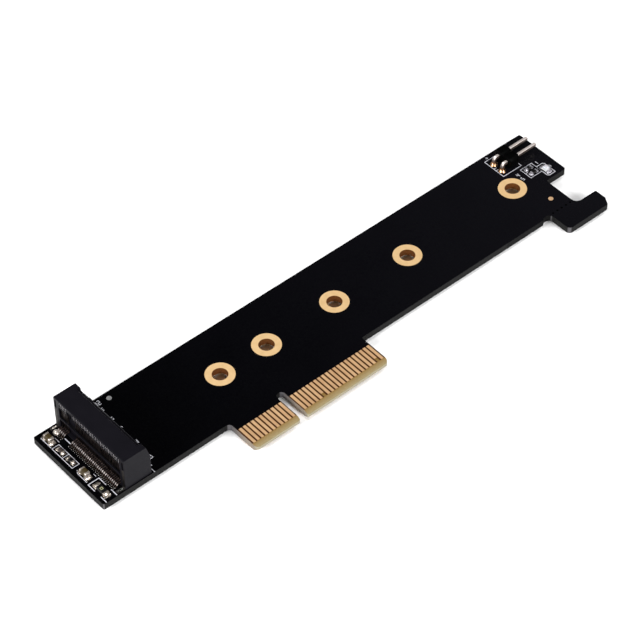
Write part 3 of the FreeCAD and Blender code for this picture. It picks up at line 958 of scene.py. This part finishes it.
def softened(node: str, width: float, segments: int = 2, angle_deg: float = 40.0) -> bpy.types.Object:
    """Copy of a CAD node with its sharp edges rounded; it stands for the node.

    Args:
        node: Name of the node.
        width: Width of the rounding.
        segments: Flats in each rounded edge.
        angle_deg: Edges sharper than this are rounded.

    Returns:
        The new piece.
    """
    mesh = bmesh.new()
    mesh.from_mesh(frame["nodes"][node].data)
    bmesh.ops.remove_doubles(mesh, verts=mesh.verts, dist=1e-7)
    bmesh.ops.dissolve_limit(mesh, angle_limit=math.radians(0.5), verts=mesh.verts, edges=mesh.edges)
    sharp = [edge for edge in mesh.edges
             if len(edge.link_faces) == 2 and edge.calc_face_angle(0.0) > math.radians(angle_deg)]
    bmesh.ops.bevel(mesh, geom=sharp, offset=width * MM, segments=segments, profile=0.5,
                    affect="EDGES", clamp_overlap=True)
    made = placed(mesh, node + "_soft", 35.0)
    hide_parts(node)
    return made


def dress(piece: bpy.types.Object, finish: Finish, slot: Optional[str] = None) -> bpy.types.Object:
    """Give a piece its finish and let it ride on the card.

    Args:
        piece: New piece, or a CAD node's object.
        finish: Finish of all its faces.
        slot: Not used.

    Returns:
        The same piece.
    """
    piece.data.materials.clear()
    piece.data.materials.append(finish.material())
    if "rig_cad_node" not in piece:
        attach(piece, BODY)
    return piece


def dress_node(node: str, finish: Finish) -> None:
    """Give a CAD node that stays its finish."""
    dress(frame["nodes"][node], finish)


def box_mm(node: str) -> tuple[Vector, Vector]:
    """Lowest and highest corner of a CAD node, in millimetres."""
    low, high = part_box(node)
    return low / MM, high / MM


def middle_of(node: str) -> Vector:
    """Middle of a CAD node's box, in millimetres."""
    low, high = box_mm(node)
    return (low + high) / 2


def rounded_line(points: Sequence[Point2], radius: float, steps: int = 4) -> list[Vector]:
    """Line with its corners turned into short arcs.

    Args:
        points: Corners of the line.
        radius: Radius wanted at each corner.
        steps: Flats in each arc.

    Returns:
        Points of the rounded line.
    """
    line = [Vector(point) for point in points]
    made = [line[0]]
    for before, here, after in zip(line, line[1:], line[2:]):
        back, ahead = before - here, after - here
        turn = math.pi - back.angle(ahead)
        reach = min(radius * math.tan(turn / 2), 0.45 * back.length, 0.45 * ahead.length)
        start, end = here + back.normalized() * reach, here + ahead.normalized() * reach
        for i in range(steps + 1):
            t = i / steps
            made.append(start * (1 - t) ** 2 + here * 2 * t * (1 - t) + end * t ** 2)
    return made + [line[-1]]


def ribbon_outline(line: Sequence[Vector], thickness: float) -> list[Point2]:
    """Outline of a bent strip seen edge on.

    Args:
        line: Its centre line.
        thickness: Its thickness.

    Returns:
        Corners down one side and back up the other.
    """
    left, right = [], []
    for before, here, after in zip([line[0], *line], line, [*line[1:], line[-1]]):
        ahead = after - before
        side = Vector((-ahead.y, ahead.x)).normalized() * thickness / 2
        left.append(tuple(here + side))
        right.append(tuple(here - side))
    return left + right[::-1]


# ---------------------------------------------------------------- the card

@dataclass(frozen=True)
class Datum:
    """Lines of the card that the sub-assemblies are set out from."""

    left: float
    right: float
    near: float
    drive_line: float
    top: float
    bottom: float

    @classmethod
    def of_card(cls) -> "Datum":
        """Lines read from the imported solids.

        Returns:
            The lines.
        """
        low, high = box_mm("circuit_board")
        return cls(left=low.x, right=high.x, near=high.y - BOARD_WIDTH,
                   drive_line=middle_of("mounting_ring_60").y, top=high.z, bottom=low.z)


@dataclass
class Board:
    """Laminate with its edge contacts, screw-hole rings and assembly targets."""

    datum: Datum
    hole_radius: float = 1.675
    contact_width: float = 0.7
    contact_margin: float = 0.05
    tongue_margin: float = 1.0
    tongue_start: float = 0.6
    snap_inset: float = 0.2
    snap_length: float = 25.0
    # Where along the board the mask's painted sheen starts.
    sheen_start: float = 15.0

    def rings(self) -> list[str]:
        """Names of the plated rings round the screw holes."""
        return sorted(node for node in frame["nodes"] if node.startswith("mounting_ring"))

    def laminate(self, first_contact: float) -> Laminate:
        """Finish of the laminate, with its places read from the solids.

        Args:
            first_contact: Centre line of the first edge contact, in metres.

        Returns:
            The finish.
        """
        low, high = box_mm("front_contacts_after_key")
        centres = [middle_of(node) * MM for node in self.rings()]
        return Laminate(
            "masked laminate", sheen_from=(self.datum.left + self.sheen_start) * MM,
            sheen_to=self.datum.right * MM, mask_line=high.y * MM,
            contact_line=(low.y - self.contact_margin) * MM,
            near_line=(self.datum.near - self.tongue_start) * MM, tip_line=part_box("circuit_board")[0].y,
            tongue_right=(high.x + self.tongue_margin) * MM,
            snap_line=(self.datum.near + self.snap_inset) * MM,
            snap_left=(self.datum.right - self.snap_length) * MM, first_contact=first_contact,
            bores=tuple((centre.x, centre.y) for centre in centres), bore_radius=self.hole_radius * MM)

    def build(self) -> None:
        """Dress the laminate and the foil on it."""
        first_contact = (box_mm("front_contacts_after_key")[0].x + self.contact_width / 2) * MM
        dress_node("circuit_board", self.laminate(first_contact))
        hard_gold = ContactGold(
            "hard gold", (0.76, 0.49, 0.26), (0.64, 0.38, 0.19), roughness=0.40, spread=0.08, patch_mm=1.4,
            metallic=0.6, dimple_mm=0.001, stretch=(1.0, 0.25, 1.0), first_contact=first_contact)
        ring_gold = Metal("immersion gold", (0.78, 0.53, 0.265), (0.72, 0.48, 0.23), roughness=0.45,
                          spread=0.06, patch_mm=1.2, metallic=0.5, dimple_mm=0.001)
        target_gold = Metal("assembly target gold", (0.60, 0.39, 0.22), (0.52, 0.32, 0.17), roughness=0.45,
                            spread=0.06, patch_mm=0.4, metallic=0.5, dimple_mm=0.001)
        tinned_land = Metal("tinned land", (0.42, 0.42, 0.42), (0.34, 0.34, 0.34), roughness=0.4,
                            spread=0.08, patch_mm=0.4, metallic=0.7, dimple_mm=0.002)
        for face in ("front", "back"):
            for group in ("before", "after"):
                dress_node("%s_contacts_%s_key" % (face, group), hard_gold)
        for node in self.rings():
            dress_node(node, ring_gold)
        dress_node("assembly_target_hook_end", target_gold)
        dress_node("assembly_target_socket_end", tinned_land)


DIGITS: dict[str, tuple[tuple[Point2, ...], ...]] = {
    "0": (((0, 0), (1, 0), (1, 2), (0, 2), (0, 0)),),
    "1": (((0.2, 1.6), (0.6, 2), (0.6, 0)),),
    "2": (((0, 2), (1, 2), (1, 1), (0, 1), (0, 0), (1, 0)),),
    "3": (((0, 2), (1, 2), (1, 0), (0, 0)), ((0.2, 1), (1, 1))),
    "4": (((0, 2), (0, 1), (1, 1)), ((1, 2), (1, 0))),
    "5": (((1, 2), (0, 2), (0, 1), (1, 1), (1, 0), (0, 0)),),
    "6": (((1, 2), (0, 2), (0, 0), (1, 0), (1, 1), (0, 1)),),
}


@dataclass(frozen=True)
class Stroke:
    """One printed line: places of its corners, its width, and whether it comes back to its start."""

    points: tuple[Point2, ...]
    width: float = 0.12
    closed: bool = False


@dataclass(frozen=True)
class Number:
    """One plain printed number: place of its lower left corner, and its height.

    A turned number reads towards -Y instead of +X.
    """

    text: str
    place: Point2
    height: float
    turned: bool = False


Mark = Union[Stroke, Number]
FINE = 0.10
BROAD = 0.17


@dataclass
class Legend:
    """Printed outlines, marks and plain numbers on the component side.

    Places are X from the board's left end (or, for the header's marks, back from its right end)
    and Y from the drive's centre line. A digit is drawn 1 wide and 2 high.
    """

    datum: Datum
    thickness: float = 0.02
    digit_width: float = 0.85
    digit_step: float = 1.7
    small_parts: tuple[Mark, ...] = (
        Stroke(((1.02, 10.0), (1.02, 6.67))),
        Stroke(((3.1, 8.25), (3.1, 6.8)), FINE),
        Stroke(((1.0, 6.4), (2.68, 6.4), (2.68, -0.05), (1.0, -0.05)), closed=True),
        Stroke(((1.0, 3.2), (2.68, 3.2))),
        Stroke(((1.47, -1.0), (0.98, -1.72), (0.97, -4.74))),
        Stroke(((3.2, -3.85), (3.2, -4.65)), FINE),
        Stroke(((0.8, -7.42), (0.8, -5.31), (3.4, -5.31), (3.37, -7.57)), BROAD),
        Stroke(((0.82, -9.28), (0.82, -11.0)), BROAD),
        Stroke(((3.4, -9.08), (3.4, -10.9)), BROAD),
        Stroke(((4.47, 6.9), (4.47, 5.0)), 0.2))
    socket: tuple[Mark, ...] = (
        Number("42", (14.0, 9.3), 1.1),
        Number("14", (13.9, 8.5), 0.75, turned=True),
        Number("12", (13.9, 5.4), 0.75, turned=True),
        Number("6", (13.9, 2.1), 0.75, turned=True),
        Number("30", (13.9, -2.4), 0.75, turned=True),
        Stroke(((14.25, -7.24), (14.4, -8.0), (13.7, -8.1)), closed=True),
        Stroke(((12.75, -9.37), (13.0, -9.37)), 0.25),
        Stroke(((12.3, -9.95), (12.35, -11.2))))
    header: tuple[Mark, ...] = (
        Stroke(((8.8, 9.75), (11.65, 9.75), (11.65, 3.88), (6.45, 3.88), (6.45, 4.75))),
        Stroke(((11.65, 6.9), (10.9, 6.9)), FINE),
        Stroke(((10.75, 10.35), (10.15, 10.35))),
        Stroke(((10.45, 10.65), (10.45, 10.05))),
        Stroke(((11.55, 6.2), (11.05, 6.2))),
        Stroke(((7.6, -0.27), (7.6, 2.98), (4.35, 2.98), (4.35, -0.27)), FINE, closed=True),
        Stroke(((7.6, 1.42), (6.9, 1.42)), FINE),
        Stroke(((4.35, -1.85), (4.35, 1.45), (2.65, 1.45), (2.3, 1.1), (2.3, -2.2), (4.0, -2.2)),
               closed=True),
        Stroke(((2.16, -0.32), (1.7, -0.32))),
        Stroke(((2.3, 0.35), (1.85, -0.05), (1.85, -0.6)), FINE),
        Number("4", (9.3, 1.7), 0.9),
        Number("5", (9.3, 0.25), 0.9),
        Number("1", (3.6, 1.9), 0.8))

    def digit_lines(self, number: Number) -> list[list[Point2]]:
        """Lines of a number's digits.

        Args:
            number: The number.

        Returns:
            Corners of each line, from the number's lower left corner.
        """
        scale = number.height / 2
        made = []
        for i, digit in enumerate(number.text):
            for line in DIGITS[digit]:
                steps = [((a + i * self.digit_step) * scale * self.digit_width, b * scale) for a, b in line]
                made.append([(up, -across) for across, up in steps] if number.turned else steps)
        return made

    def group(self, marks: Sequence[Mark], start: float, sign: int) -> Forge:
        """Print a group of marks.

        Args:
            marks: Lines and numbers of the group.
            start: X that its places are counted from.
            sign: 1 where they are counted forward, -1 where they are counted back.

        Returns:
            Their faces.
        """
        forge = Forge()
        low, high = self.datum.top, self.datum.top + self.thickness

        def on_card(place: Point2) -> Point2:
            """Place of a mark in the card's frame."""
            return start + sign * place[0], self.datum.drive_line + place[1]

        for mark in marks:
            if isinstance(mark, Stroke):
                forge.stroke([on_card(point) for point in mark.points], mark.width, low, high, mark.closed)
                continue
            x, y = on_card(mark.place)
            for line in self.digit_lines(mark):
                forge.stroke([(x + dx, y + dy) for dx, dy in line], FINE, low, high)
        return forge

    def build(self) -> None:
        """Print every group of marks."""
        ink = Ink("legend ink", (0.50, 0.50, 0.54), (0.15, 0.15, 0.17))
        for name, marks, start, sign in (("small_parts", self.small_parts, self.datum.left, 1),
                                         ("socket", self.socket, self.datum.left, 1),
                                         ("header", self.header, self.datum.right, -1)):
            dress(self.group(marks, start, sign).piece("legend_" + name), ink)


@dataclass
class DriveSocket:
    """Socket for the drive: housing, two rows of formed contacts, hold-downs and their solder.

    The contacts' paths are seen from the side, counted from the face that the drive stops
    against and from the board. Places of solder are counted the same way, or from the low end
    of a hold-down.
    """

    datum: Datum
    base_rear: float = 2.2
    pitch: float = 0.25
    last_number: int = 75
    key_first: int = 59
    key_last: int = 66
    contact_width: float = 0.2
    thickness: float = 0.15
    bend_radius: float = 0.22
    upper_path: tuple[Point2, ...] = (
        (-3.85, 0.075), (-3.15, 0.075), (-2.68, 0.52), (-1.66, 0.57), (-1.62, 5.1), (-1.925, 6.0),
        (-1.925, 7.43), (1.15, 7.43), (1.75, 7.075), (2.2, 7.3))
    lower_path: tuple[Point2, ...] = (
        (5.4, 0.075), (4.65, 0.075), (4.155, 0.57), (3.27, 0.57), (3.27, 5.68), (2.35, 5.68), (1.75, 6.225),
        (1.3, 6.0))
    shoulder_bottom: float = 6.1
    upper_tail: float = -3.45
    lower_tail: float = 5.0
    tail_heap: Heap = Heap(reach=(0.5, 0.12), height=0.14, power=0.7, rings=4, segments=12)
    unevenness: float = 0.12
    foot_place: float = 0.75
    foot_heap: Heap = Heap(reach=(0.62, 0.36), height=0.22, power=0.8, rings=6, segments=24)
    nail_place: float = 1.3
    nail_heap: Heap = Heap(reach=(0.3, 0.3), height=0.34, power=1.5, rings=6, segments=20)
    ground_place: float = 4.15
    ground_heap: Heap = Heap(reach=(0.72, 0.75), height=0.62, power=0.55, rings=7, segments=28)
    solder_sink: float = 0.005

    def stop(self) -> float:
        """X of the face that the drive stops against."""
        return box_mm("socket_housing")[0].x + self.base_rear

    def offsets(self, odd: bool) -> list[float]:
        """Places of one row's contacts, from the drive's centre line.

        Args:
            odd: Whether the row has the odd numbers.

        Returns:
            One offset for each contact.
        """
        middle = (self.last_number + 1) / 2
        return [(number - middle) * self.pitch for number in range(1, self.last_number + 1)
                if number % 2 == odd and not self.key_first <= number <= self.key_last]

    def row(self, path: Sequence[Point2], offsets: Sequence[float]) -> Forge:
        """One row of contacts with rounded bends.

        Args:
            path: Centre line seen from the side.
            offsets: Places of the contacts.

        Returns:
            Their faces.
        """
        outline = ribbon_outline(rounded_line(path, self.bend_radius), self.thickness)
        forge = Forge()
        stop = self.stop()
        half = self.contact_width / 2
        for offset in offsets:
            middle = self.datum.drive_line + offset
            forge.prism(outline, middle - half, middle + half,
                        lambda a, b, way: (stop + a, way, self.datum.top + b))
        return forge

    def heap(self, forge: Forge, x: float, y: float, shape: Heap) -> None:
        """Add one heap of solder, sunk a little into the board."""
        forge.dome((x, y, self.datum.top - self.solder_sink), shape)

    def tail_solder(self, tail: float, offsets: Sequence[float], seed: int) -> Forge:
        """Solder round the feet of one row, on tinned lands.

        Args:
            tail: Middle of the feet, from the stop face.
            offsets: Places of the contacts.
            seed: Start of the small differences between joints.

        Returns:
            The joints' faces.
        """
        draw = random.Random(seed)
        forge = Forge()
        long, wide = self.tail_heap.reach
        for offset in offsets:
            swell = 1 + self.unevenness * (draw.random() - 0.5)
            height = self.tail_heap.height * swell
            shape = replace(self.tail_heap, reach=(long * swell, wide), height=height)
            self.heap(forge, self.stop() + tail, self.datum.drive_line + offset, shape)
        return forge

    def hold_down_solder(self, node: str) -> Forge:
        """Heaps of solder on the foot of one hold-down.

        Args:
            node: CAD node of the hold-down.

        Returns:
            The heaps' faces.
        """
        forge = Forge()
        start, middle = box_mm(node)[0].x, middle_of(node).y
        self.heap(forge, start + self.foot_place, middle, self.foot_heap)
        self.heap(forge, start + self.nail_place, middle, self.nail_heap)
        return forge

    def ground_solder(self) -> Forge:
        """Heap of solder that joins the last two contacts of the upper row.

        Returns:
            The heap's faces.
        """
        forge = Forge()
        between = self.datum.drive_line + (self.last_number - 2) / 2 * self.pitch
        self.heap(forge, self.datum.left + self.ground_place, between, self.ground_heap)
        return forge

    def build(self) -> None:
        """Build and dress the socket."""
        plastic = Moulded("socket plastic", (0.0048, 0.0044, 0.0064), (0.0040, 0.0037, 0.0054),
                          roughness=0.42, gloss=0.055)
        middle = (self.upper_path[2][0] + self.lower_path[2][0]) / 2
        spring = PlatedSpring("spring contact", middle=(self.stop() + middle) * MM,
                              knee_reach=(self.lower_path[2][0] - middle) * MM,
                              shoulder_bottom=(self.datum.top + self.shoulder_bottom) * MM)
        tin = Metal("tinned steel", (0.04, 0.037, 0.035), (0.022, 0.020, 0.019), roughness=0.42, spread=0.1,
                    patch_mm=0.5, metallic=1.0, dimple_mm=0.002)
        joint = Metal("solder", (0.06, 0.048, 0.042), (0.025, 0.018, 0.015), roughness=0.28, spread=0.1,
                      patch_mm=0.3, metallic=1.0, dimple_mm=0.004)
        # Same heaps as on the far hold-down, in a darker tone.
        thin = Metal("thin solder", (0.16, 0.17, 0.16), (0.06, 0.065, 0.06), roughness=0.3, spread=0.1,
                     patch_mm=0.3, metallic=1.0, dimple_mm=0.004)
        heaped = Metal("heaped solder", (0.86, 0.80, 0.74), (0.58, 0.50, 0.43), roughness=0.34, spread=0.1,
                       patch_mm=0.5, metallic=0.8, dimple_mm=0.004)
        dress_node("socket_housing", plastic)
        for row, path, odd, tail in (("upper", self.upper_path, True, self.upper_tail),
                                     ("lower", self.lower_path, False, self.lower_tail)):
            offsets = self.offsets(odd)
            contacts = self.row(path, offsets).piece("socket_%s_contacts_formed" % row, 30.0)
            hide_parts("socket_%s_contacts" % row)
            dress(contacts, spring, "spring_contact")
            solder = self.tail_solder(tail, offsets, seed=11 + odd)
            dress(solder.piece("socket_%s_tail_solder" % row), joint, "solder")
        for side, solder in (("near", thin), ("far", heaped)):
            node = "socket_hold_down_" + side
            dress(softened(node, 0.03), tin, "tinned_steel")
            dress(self.hold_down_solder(node).piece(node + "_solder"), solder, "solder")
        dress(self.ground_solder().piece("socket_ground_solder"), heaped, "solder")


@dataclass
class PinHeader:
    """Right-angle header: insulator, two pins and their solder."""

    datum: Datum
    edge_width: float = 0.05
    pin_edge_width: float = 0.03
    land_radius: float = 0.9
    land_height: float = 0.02
    collar_radius: float = 0.46
    bore_radius: float = 0.48
    bore_edge: float = 0.001
    rise_front: float = 0.5
    rise_back: float = 0.65
    browned_height: float = 1.0
    steps: int = 8

    def climb(self, face: float, rise: float) -> list[Point2]:
        """Slope of solder from the pin down to its land's edge.

        Args:
            face: Height of the board's face.
            rise: Climb on the pin, below zero on the back of the board.

        Returns:
            Radius and height of each point.
        """
        made = []
        for i in range(self.steps + 1):
            t = i / self.steps
            radius = self.collar_radius + (self.land_radius - self.collar_radius) * t ** 0.55
            made.append((radius, face + rise * (1 - t) ** 1.6 + math.copysign(self.land_height, rise)))
        return made

    def joint(self, node: str) -> Forge:
        """Solder that fills a plated hole and climbs the pin on both faces.

        Args:
            node: CAD node that the joint stands for.

        Returns:
            The joint's faces.
        """
        top, bottom = self.datum.top, self.datum.bottom
        profile = self.climb(bottom, -self.rise_back)
        profile += [(self.land_radius, bottom), (self.bore_radius, bottom + self.bore_edge),
                    (self.bore_radius, top - self.bore_edge), (self.land_radius, top)]
        profile += self.climb(top, self.rise_front)[::-1]
        forge = Forge()
        forge.lathe(middle_of(node).xy, profile)
        return forge

    def build(self) -> None:
        """Build and dress the header."""
        plastic = Moulded("header plastic", (0.0008, 0.0008, 0.0009), (0.0005, 0.0005, 0.0005),
                          roughness=0.42, gloss=0.02, grain_mm=0.1)
        plated = StampedPin("plated pin", (0.86, 0.79, 0.76), (0.78, 0.68, 0.62), roughness=0.38, spread=0.06,
                            patch_mm=1.2, metallic=0.7, dimple_mm=0.001,
                            dip_top=(self.datum.top + self.browned_height) * MM)
        joint = Metal("header solder", (0.50, 0.33, 0.20), (0.20, 0.08, 0.025), roughness=0.26, spread=0.07,
                      patch_mm=0.4, metallic=1.0, dimple_mm=0.004)
        dress(softened("header_housing", self.edge_width), plastic, "header_plastic")
        for number in (1, 2):
            pin = softened("header_pin_%d" % number, self.pin_edge_width, angle_deg=35.0)
            dress(pin, plated, "plated_pin")
            solder = self.joint("header_solder_%d" % number).piece("header_joint_%d" % number, 50.0)
            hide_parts("header_solder_%d" % number)
            dress(solder, joint, "solder")


@dataclass
class ChipPart:
    """One soldered chip part: body, plated ends, solder and lands."""

    datum: Datum
    name: str
    run: Run
    terminal: float
    body: Finish
    body_slot: str
    ends: Finish
    joint: Finish
    solder_reach: float = 0.5
    solder_share: float = 0.8
    softness: float = 0.1
    coating: Optional[Finish] = None
    numbered: bool = False
    body_inset: float = 0.035
    body_lift: float = 0.01
    body_drop: float = 0.03
    land_margin: Point2 = (0.06, 0.08)
    land_tuck: float = 0.1
    land_height: float = 0.03
    solder_tuck: float = 0.04
    coat_gap: float = 0.05
    coat_inset: float = 0.13
    coat_depth: float = 0.06
    coat_height: float = 0.015
    nought_half: float = 0.24
    nought_width: float = 0.12

    def build(self) -> None:
        """Build and dress the part."""
        low, high = box_mm(self.name + "_terminals")
        axis = self.run.value
        forge = Forge()
        forge.block(low + Vector((self.body_inset, self.body_inset, self.body_lift)),
                    high - Vector((self.body_inset, self.body_inset, self.body_drop)), self.softness)
        body = forge.piece(self.name + "_chip")
        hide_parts(self.name + "_body")
        dress(body, self.body, self.body_slot)
        ends, solder = Forge(), Forge()
        for end in End:
            cap_low, cap_high = low.copy(), high.copy()
            if end is End.LOW:
                cap_high[axis] = low[axis] + self.terminal
            else:
                cap_low[axis] = high[axis] - self.terminal
            ends.block(cap_low, cap_high, self.softness)
            self.fillet(solder, end, low, high)
        caps = ends.piece(self.name + "_ends")
        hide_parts(self.name + "_terminals")
        dress(caps, self.ends, "chip_terminal")
        dress(solder.piece(self.name + "_solder", 60.0), self.joint, "solder")
        if self.coating is not None:
            self.coat(low, high)

    def fillet(self, forge: Forge, end: End, low: Vector, high: Vector) -> None:
        """Add one end's solder and the land under it.

        Args:
            forge: Piece that the solder joins.
            end: Which end of the part.
            low: Lowest corner of the part.
            high: Highest corner of the part.
        """
        axis = self.run.value
        face = high[axis] if end is End.HIGH else low[axis]
        across = (low[1 - axis] + high[1 - axis]) / 2
        half = (high[1 - axis] - low[1 - axis]) / 2
        top = self.datum.top

        def place(out: float, side: float, rise: float) -> Vector:
            """Point of the solder.

            Args:
                out: Distance outward from the part's end.
                side: Distance across.
                rise: Height above the board.

            Returns:
                The point.
            """
            point = Vector((0.0, 0.0, top + rise))
            point[axis] = face + end.value * (out - self.solder_tuck)
            point[1 - axis] = across + side
            return point

        forge.slope(place, self.solder_reach, half * 0.98, (high.z - top) * self.solder_share)
        margin, side_margin = self.land_margin
        corners = (place(-self.terminal - self.land_tuck, -half - side_margin, 0.0),
                   place(self.solder_reach + margin, half + side_margin, self.land_height))
        forge.block([min(pair) for pair in zip(*corners)], [max(pair) for pair in zip(*corners)], 0.012, 1)

    def coat(self, low: Vector, high: Vector) -> None:
        """Lay the dark coating between the ends; a numbered part has a plain nought on it.

        Args:
            low: Lowest corner of the part.
            high: Highest corner of the part.
        """
        inset = Vector((self.coat_inset, self.coat_inset, 0.0))
        inset[self.run.value] = self.terminal + self.coat_gap
        coat_low, coat_high = low + inset, high - inset
        coat_low.z = high.z - self.coat_depth
        coat_high.z = high.z + self.coat_height
        forge = Forge()
        forge.block(coat_low, coat_high, 0.02, 2)
        dress(forge.piece(self.name + "_coating"), self.coating, "resistor_coating")
        if not self.numbered:
            return
        middle, half = (low + high) / 2, self.nought_half
        square = [(middle.x + half * dx, middle.y + half * dy)
                  for dx, dy in ((-1, -1), (1, -1), (1, 1), (-1, 1))]
        mark = Forge()
        mark.stroke(square, self.nought_width, coat_high.z - 0.002, coat_high.z + 0.008, True)
        dress(mark.piece(self.name + "_number"), Ink("value ink", (0.36, 0.36, 0.20), (0.12, 0.12, 0.07)))


@dataclass
class SmallParts:
    """Every chip part on the board, the activity lamp among them."""

    datum: Datum

    def build(self) -> None:
        """Build and dress the chip parts."""
        ends = Metal("chip end", (0.66, 0.60, 0.54), (0.34, 0.29, 0.24), roughness=0.3, spread=0.08,
                     patch_mm=0.35, metallic=0.85, dimple_mm=0.004)
        joint = Metal("chip solder", (0.66, 0.60, 0.54), (0.28, 0.23, 0.18), roughness=0.24, spread=0.08,
                      patch_mm=0.35, metallic=0.9, dimple_mm=0.006)
        grey = Metal("grey chip end", (0.56, 0.55, 0.60), (0.14, 0.13, 0.15), roughness=0.30, spread=0.08,
                     patch_mm=0.3, metallic=0.8, dimple_mm=0.004)
        tan = Fired("capacitor ceramic", (0.042, 0.029, 0.009), (0.024, 0.016, 0.006),
                    roughness=0.38, gloss=0.3)
        brown = Fired("small ceramic", (0.043, 0.032, 0.028), (0.024, 0.018, 0.016),
                      roughness=0.4, gloss=0.5)
        dark = Fired("resistor coating", (0.0035, 0.0035, 0.004), (0.006, 0.006, 0.0065),
                     roughness=0.34, gloss=0.1)
        alumina = Fired("alumina", (0.020, 0.019, 0.019), (0.012, 0.011, 0.011), roughness=0.45, gloss=0.2)
        lamp_base = Moulded("led base", (0.60, 0.60, 0.60), (0.48, 0.48, 0.48), roughness=0.45, gloss=0.4,
                            grain_mm=0.08)
        for side in ("far", "near"):
            ChipPart(self.datum, "supply_capacitor_" + side, Run.ALONG_Y, 0.5, tan, "capacitor_ceramic",
                     ends, joint, solder_reach=0.6, solder_share=0.85, softness=0.14).build()
        ChipPart(self.datum, "filter_capacitor", Run.ALONG_Y, 0.33, brown, "small_ceramic", ends, joint,
                 solder_reach=0.4).build()
        ChipPart(self.datum, "strap_resistor", Run.ALONG_Y, 0.33, alumina, "small_ceramic", ends, joint,
                 solder_reach=0.4, softness=0.05, coating=dark).build()
        ChipPart(self.datum, "jumper_link", Run.ALONG_Y, 0.5, alumina, "small_ceramic", ends, joint,
                 solder_reach=0.6, softness=0.06, coating=dark, numbered=True).build()
        for number in (1, 2):
            ChipPart(self.datum, "led_resistor_%d" % number, Run.ALONG_X, 0.33, alumina, "small_ceramic",
                     grey, grey, solder_reach=0.35, softness=0.05, coating=dark).build()
        ChipPart(self.datum, "activity_led", Run.ALONG_Y, 0.32, lamp_base, "led_base", grey, grey,
                 solder_reach=0.4, solder_share=0.9, softness=0.05).build()
        lens = LensResin("led lens", (0.50, 0.50, 0.55), (0.40, 0.40, 0.42))
        dress(softened("activity_led_lens", 0.09, 3, 30.0), lens, "led_lens")


# ---------------------------------------------------------------- studio

@dataclass
class Softbox:
    """Large soft lamp aimed at the card; its place and size are metres, its power watts."""

    name: str
    place: Point3
    size: Point2
    power: float

    def build(self, target: Vector) -> None:
        """Hang the lamp.

        Args:
            target: Point that it faces.
        """
        data = bpy.data.lights.new(self.name, "AREA")
        data.shape = "RECTANGLE"
        data.size, data.size_y = self.size
        data.energy = self.power
        lamp = bpy.data.objects.new(self.name, data)
        lamp.location = self.place
        lamp.rotation_mode = "QUATERNION"
        lamp.rotation_quaternion = (target - Vector(self.place)).to_track_quat("-Z", "Y")
        bpy.context.scene.collection.objects.link(lamp)


@dataclass
class Studio:
    """Pale floor, soft light and the camera. The lens and its sensor are millimetres, the rest metres."""

    floor_size: float = 6.0
    floor_gap: float = 0.00002
    sky: float = 0.035
    lamps: tuple[Softbox, ...] = (
        Softbox("right_key", (0.75, -0.14, 1.05), (0.45, 0.45), 6.0),
        Softbox("far_key", (-0.255, 0.72, 1.05), (0.45, 0.45), 6.0),
        Softbox("left_fill", (-1.24, 0.0, 0.66), (0.8, 0.5), 27.0),
        Softbox("near_fill", (0.0, -1.24, 0.66), (0.8, 0.5), 27.0))
    look_at: Point3 = (-0.003139, 0.002145, 0.00257)
    azimuth_deg: float = -40.494
    elevation_deg: float = 46.776
    roll_deg: float = -0.612
    distance: float = 0.514007
    lens: float = 143.583
    sensor: float = 36.0
    clip: Point2 = (0.01, 20.0)

    def floor(self) -> None:
        """Lay the floor under the card."""
        half = self.floor_size / 2
        data = bpy.data.meshes.new("floor")
        corners = [(-half, -half, 0), (half, -half, 0), (half, half, 0), (-half, half, 0)]
        data.from_pydata(corners, [], [(0, 1, 2, 3)])
        data.materials.append(Backdrop("pale floor", (0.96, 0.96, 0.96), (0.94, 0.94, 0.94)).material())
        floor = bpy.data.objects.new("floor", data)
        floor.location.z = cad_box[0].z - self.floor_gap
        bpy.context.scene.collection.objects.link(floor)
        floor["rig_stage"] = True

    def lights(self) -> None:
        """Hang the lamps and set the dim surroundings."""
        for lamp in self.lamps:
            lamp.build(Vector(self.look_at))
        world = bpy.data.worlds.new("surroundings")
        world.use_nodes = True
        world.node_tree.nodes["Background"].inputs["Color"].default_value = (self.sky, self.sky, self.sky, 1)
        bpy.context.scene.world = world
        bpy.context.scene.view_settings.view_transform = "Standard"
        bpy.context.scene.view_settings.look = "None"

    def camera(self) -> None:
        """Set the camera at the catalogue view of the card."""
        azimuth, elevation, roll = map(math.radians, (self.azimuth_deg, self.elevation_deg, self.roll_deg))
        level = math.cos(elevation)
        back = Vector((math.sin(azimuth) * level, -math.cos(azimuth) * level, math.sin(elevation)))
        right = Vector((math.cos(azimuth), math.sin(azimuth), 0))
        up = back.cross(right)
        across = right * math.cos(roll) + up * math.sin(roll)
        upright = up * math.cos(roll) - right * math.sin(roll)
        data = bpy.data.cameras.new("camera")
        data.sensor_width = self.sensor
        data.lens = self.lens
        data.clip_start, data.clip_end = self.clip
        camera = bpy.data.objects.new("camera", data)
        turn = Matrix((across, upright, back)).transposed().to_4x4()
        camera.matrix_world = Matrix.Translation(Vector(self.look_at) + back * self.distance) @ turn
        bpy.context.scene.collection.objects.link(camera)
        bpy.context.scene.camera = camera

    def build(self) -> None:
        """Set up the studio."""
        self.floor()
        self.lights()
        self.camera()


def main() -> None:
    """Build the studio and every sub-assembly of the card, in order, and report each new piece."""
    logging.basicConfig(level=logging.INFO, format="%(message)s")
    datum = Datum.of_card()
    parts = (("studio", Studio()), ("board", Board(datum)), ("legend", Legend(datum)),
             ("drive socket", DriveSocket(datum)), ("pin header", PinHeader(datum)),
             ("small parts", SmallParts(datum)))
    for name, part in parts:
        before = {piece.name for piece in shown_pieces()}
        part.build()
        LOG.info("%s built", name)
        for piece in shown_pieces():
            if piece.name not in before:
                LOG.info("  piece %s", piece.name)


if __name__ == "__main__":
    main()
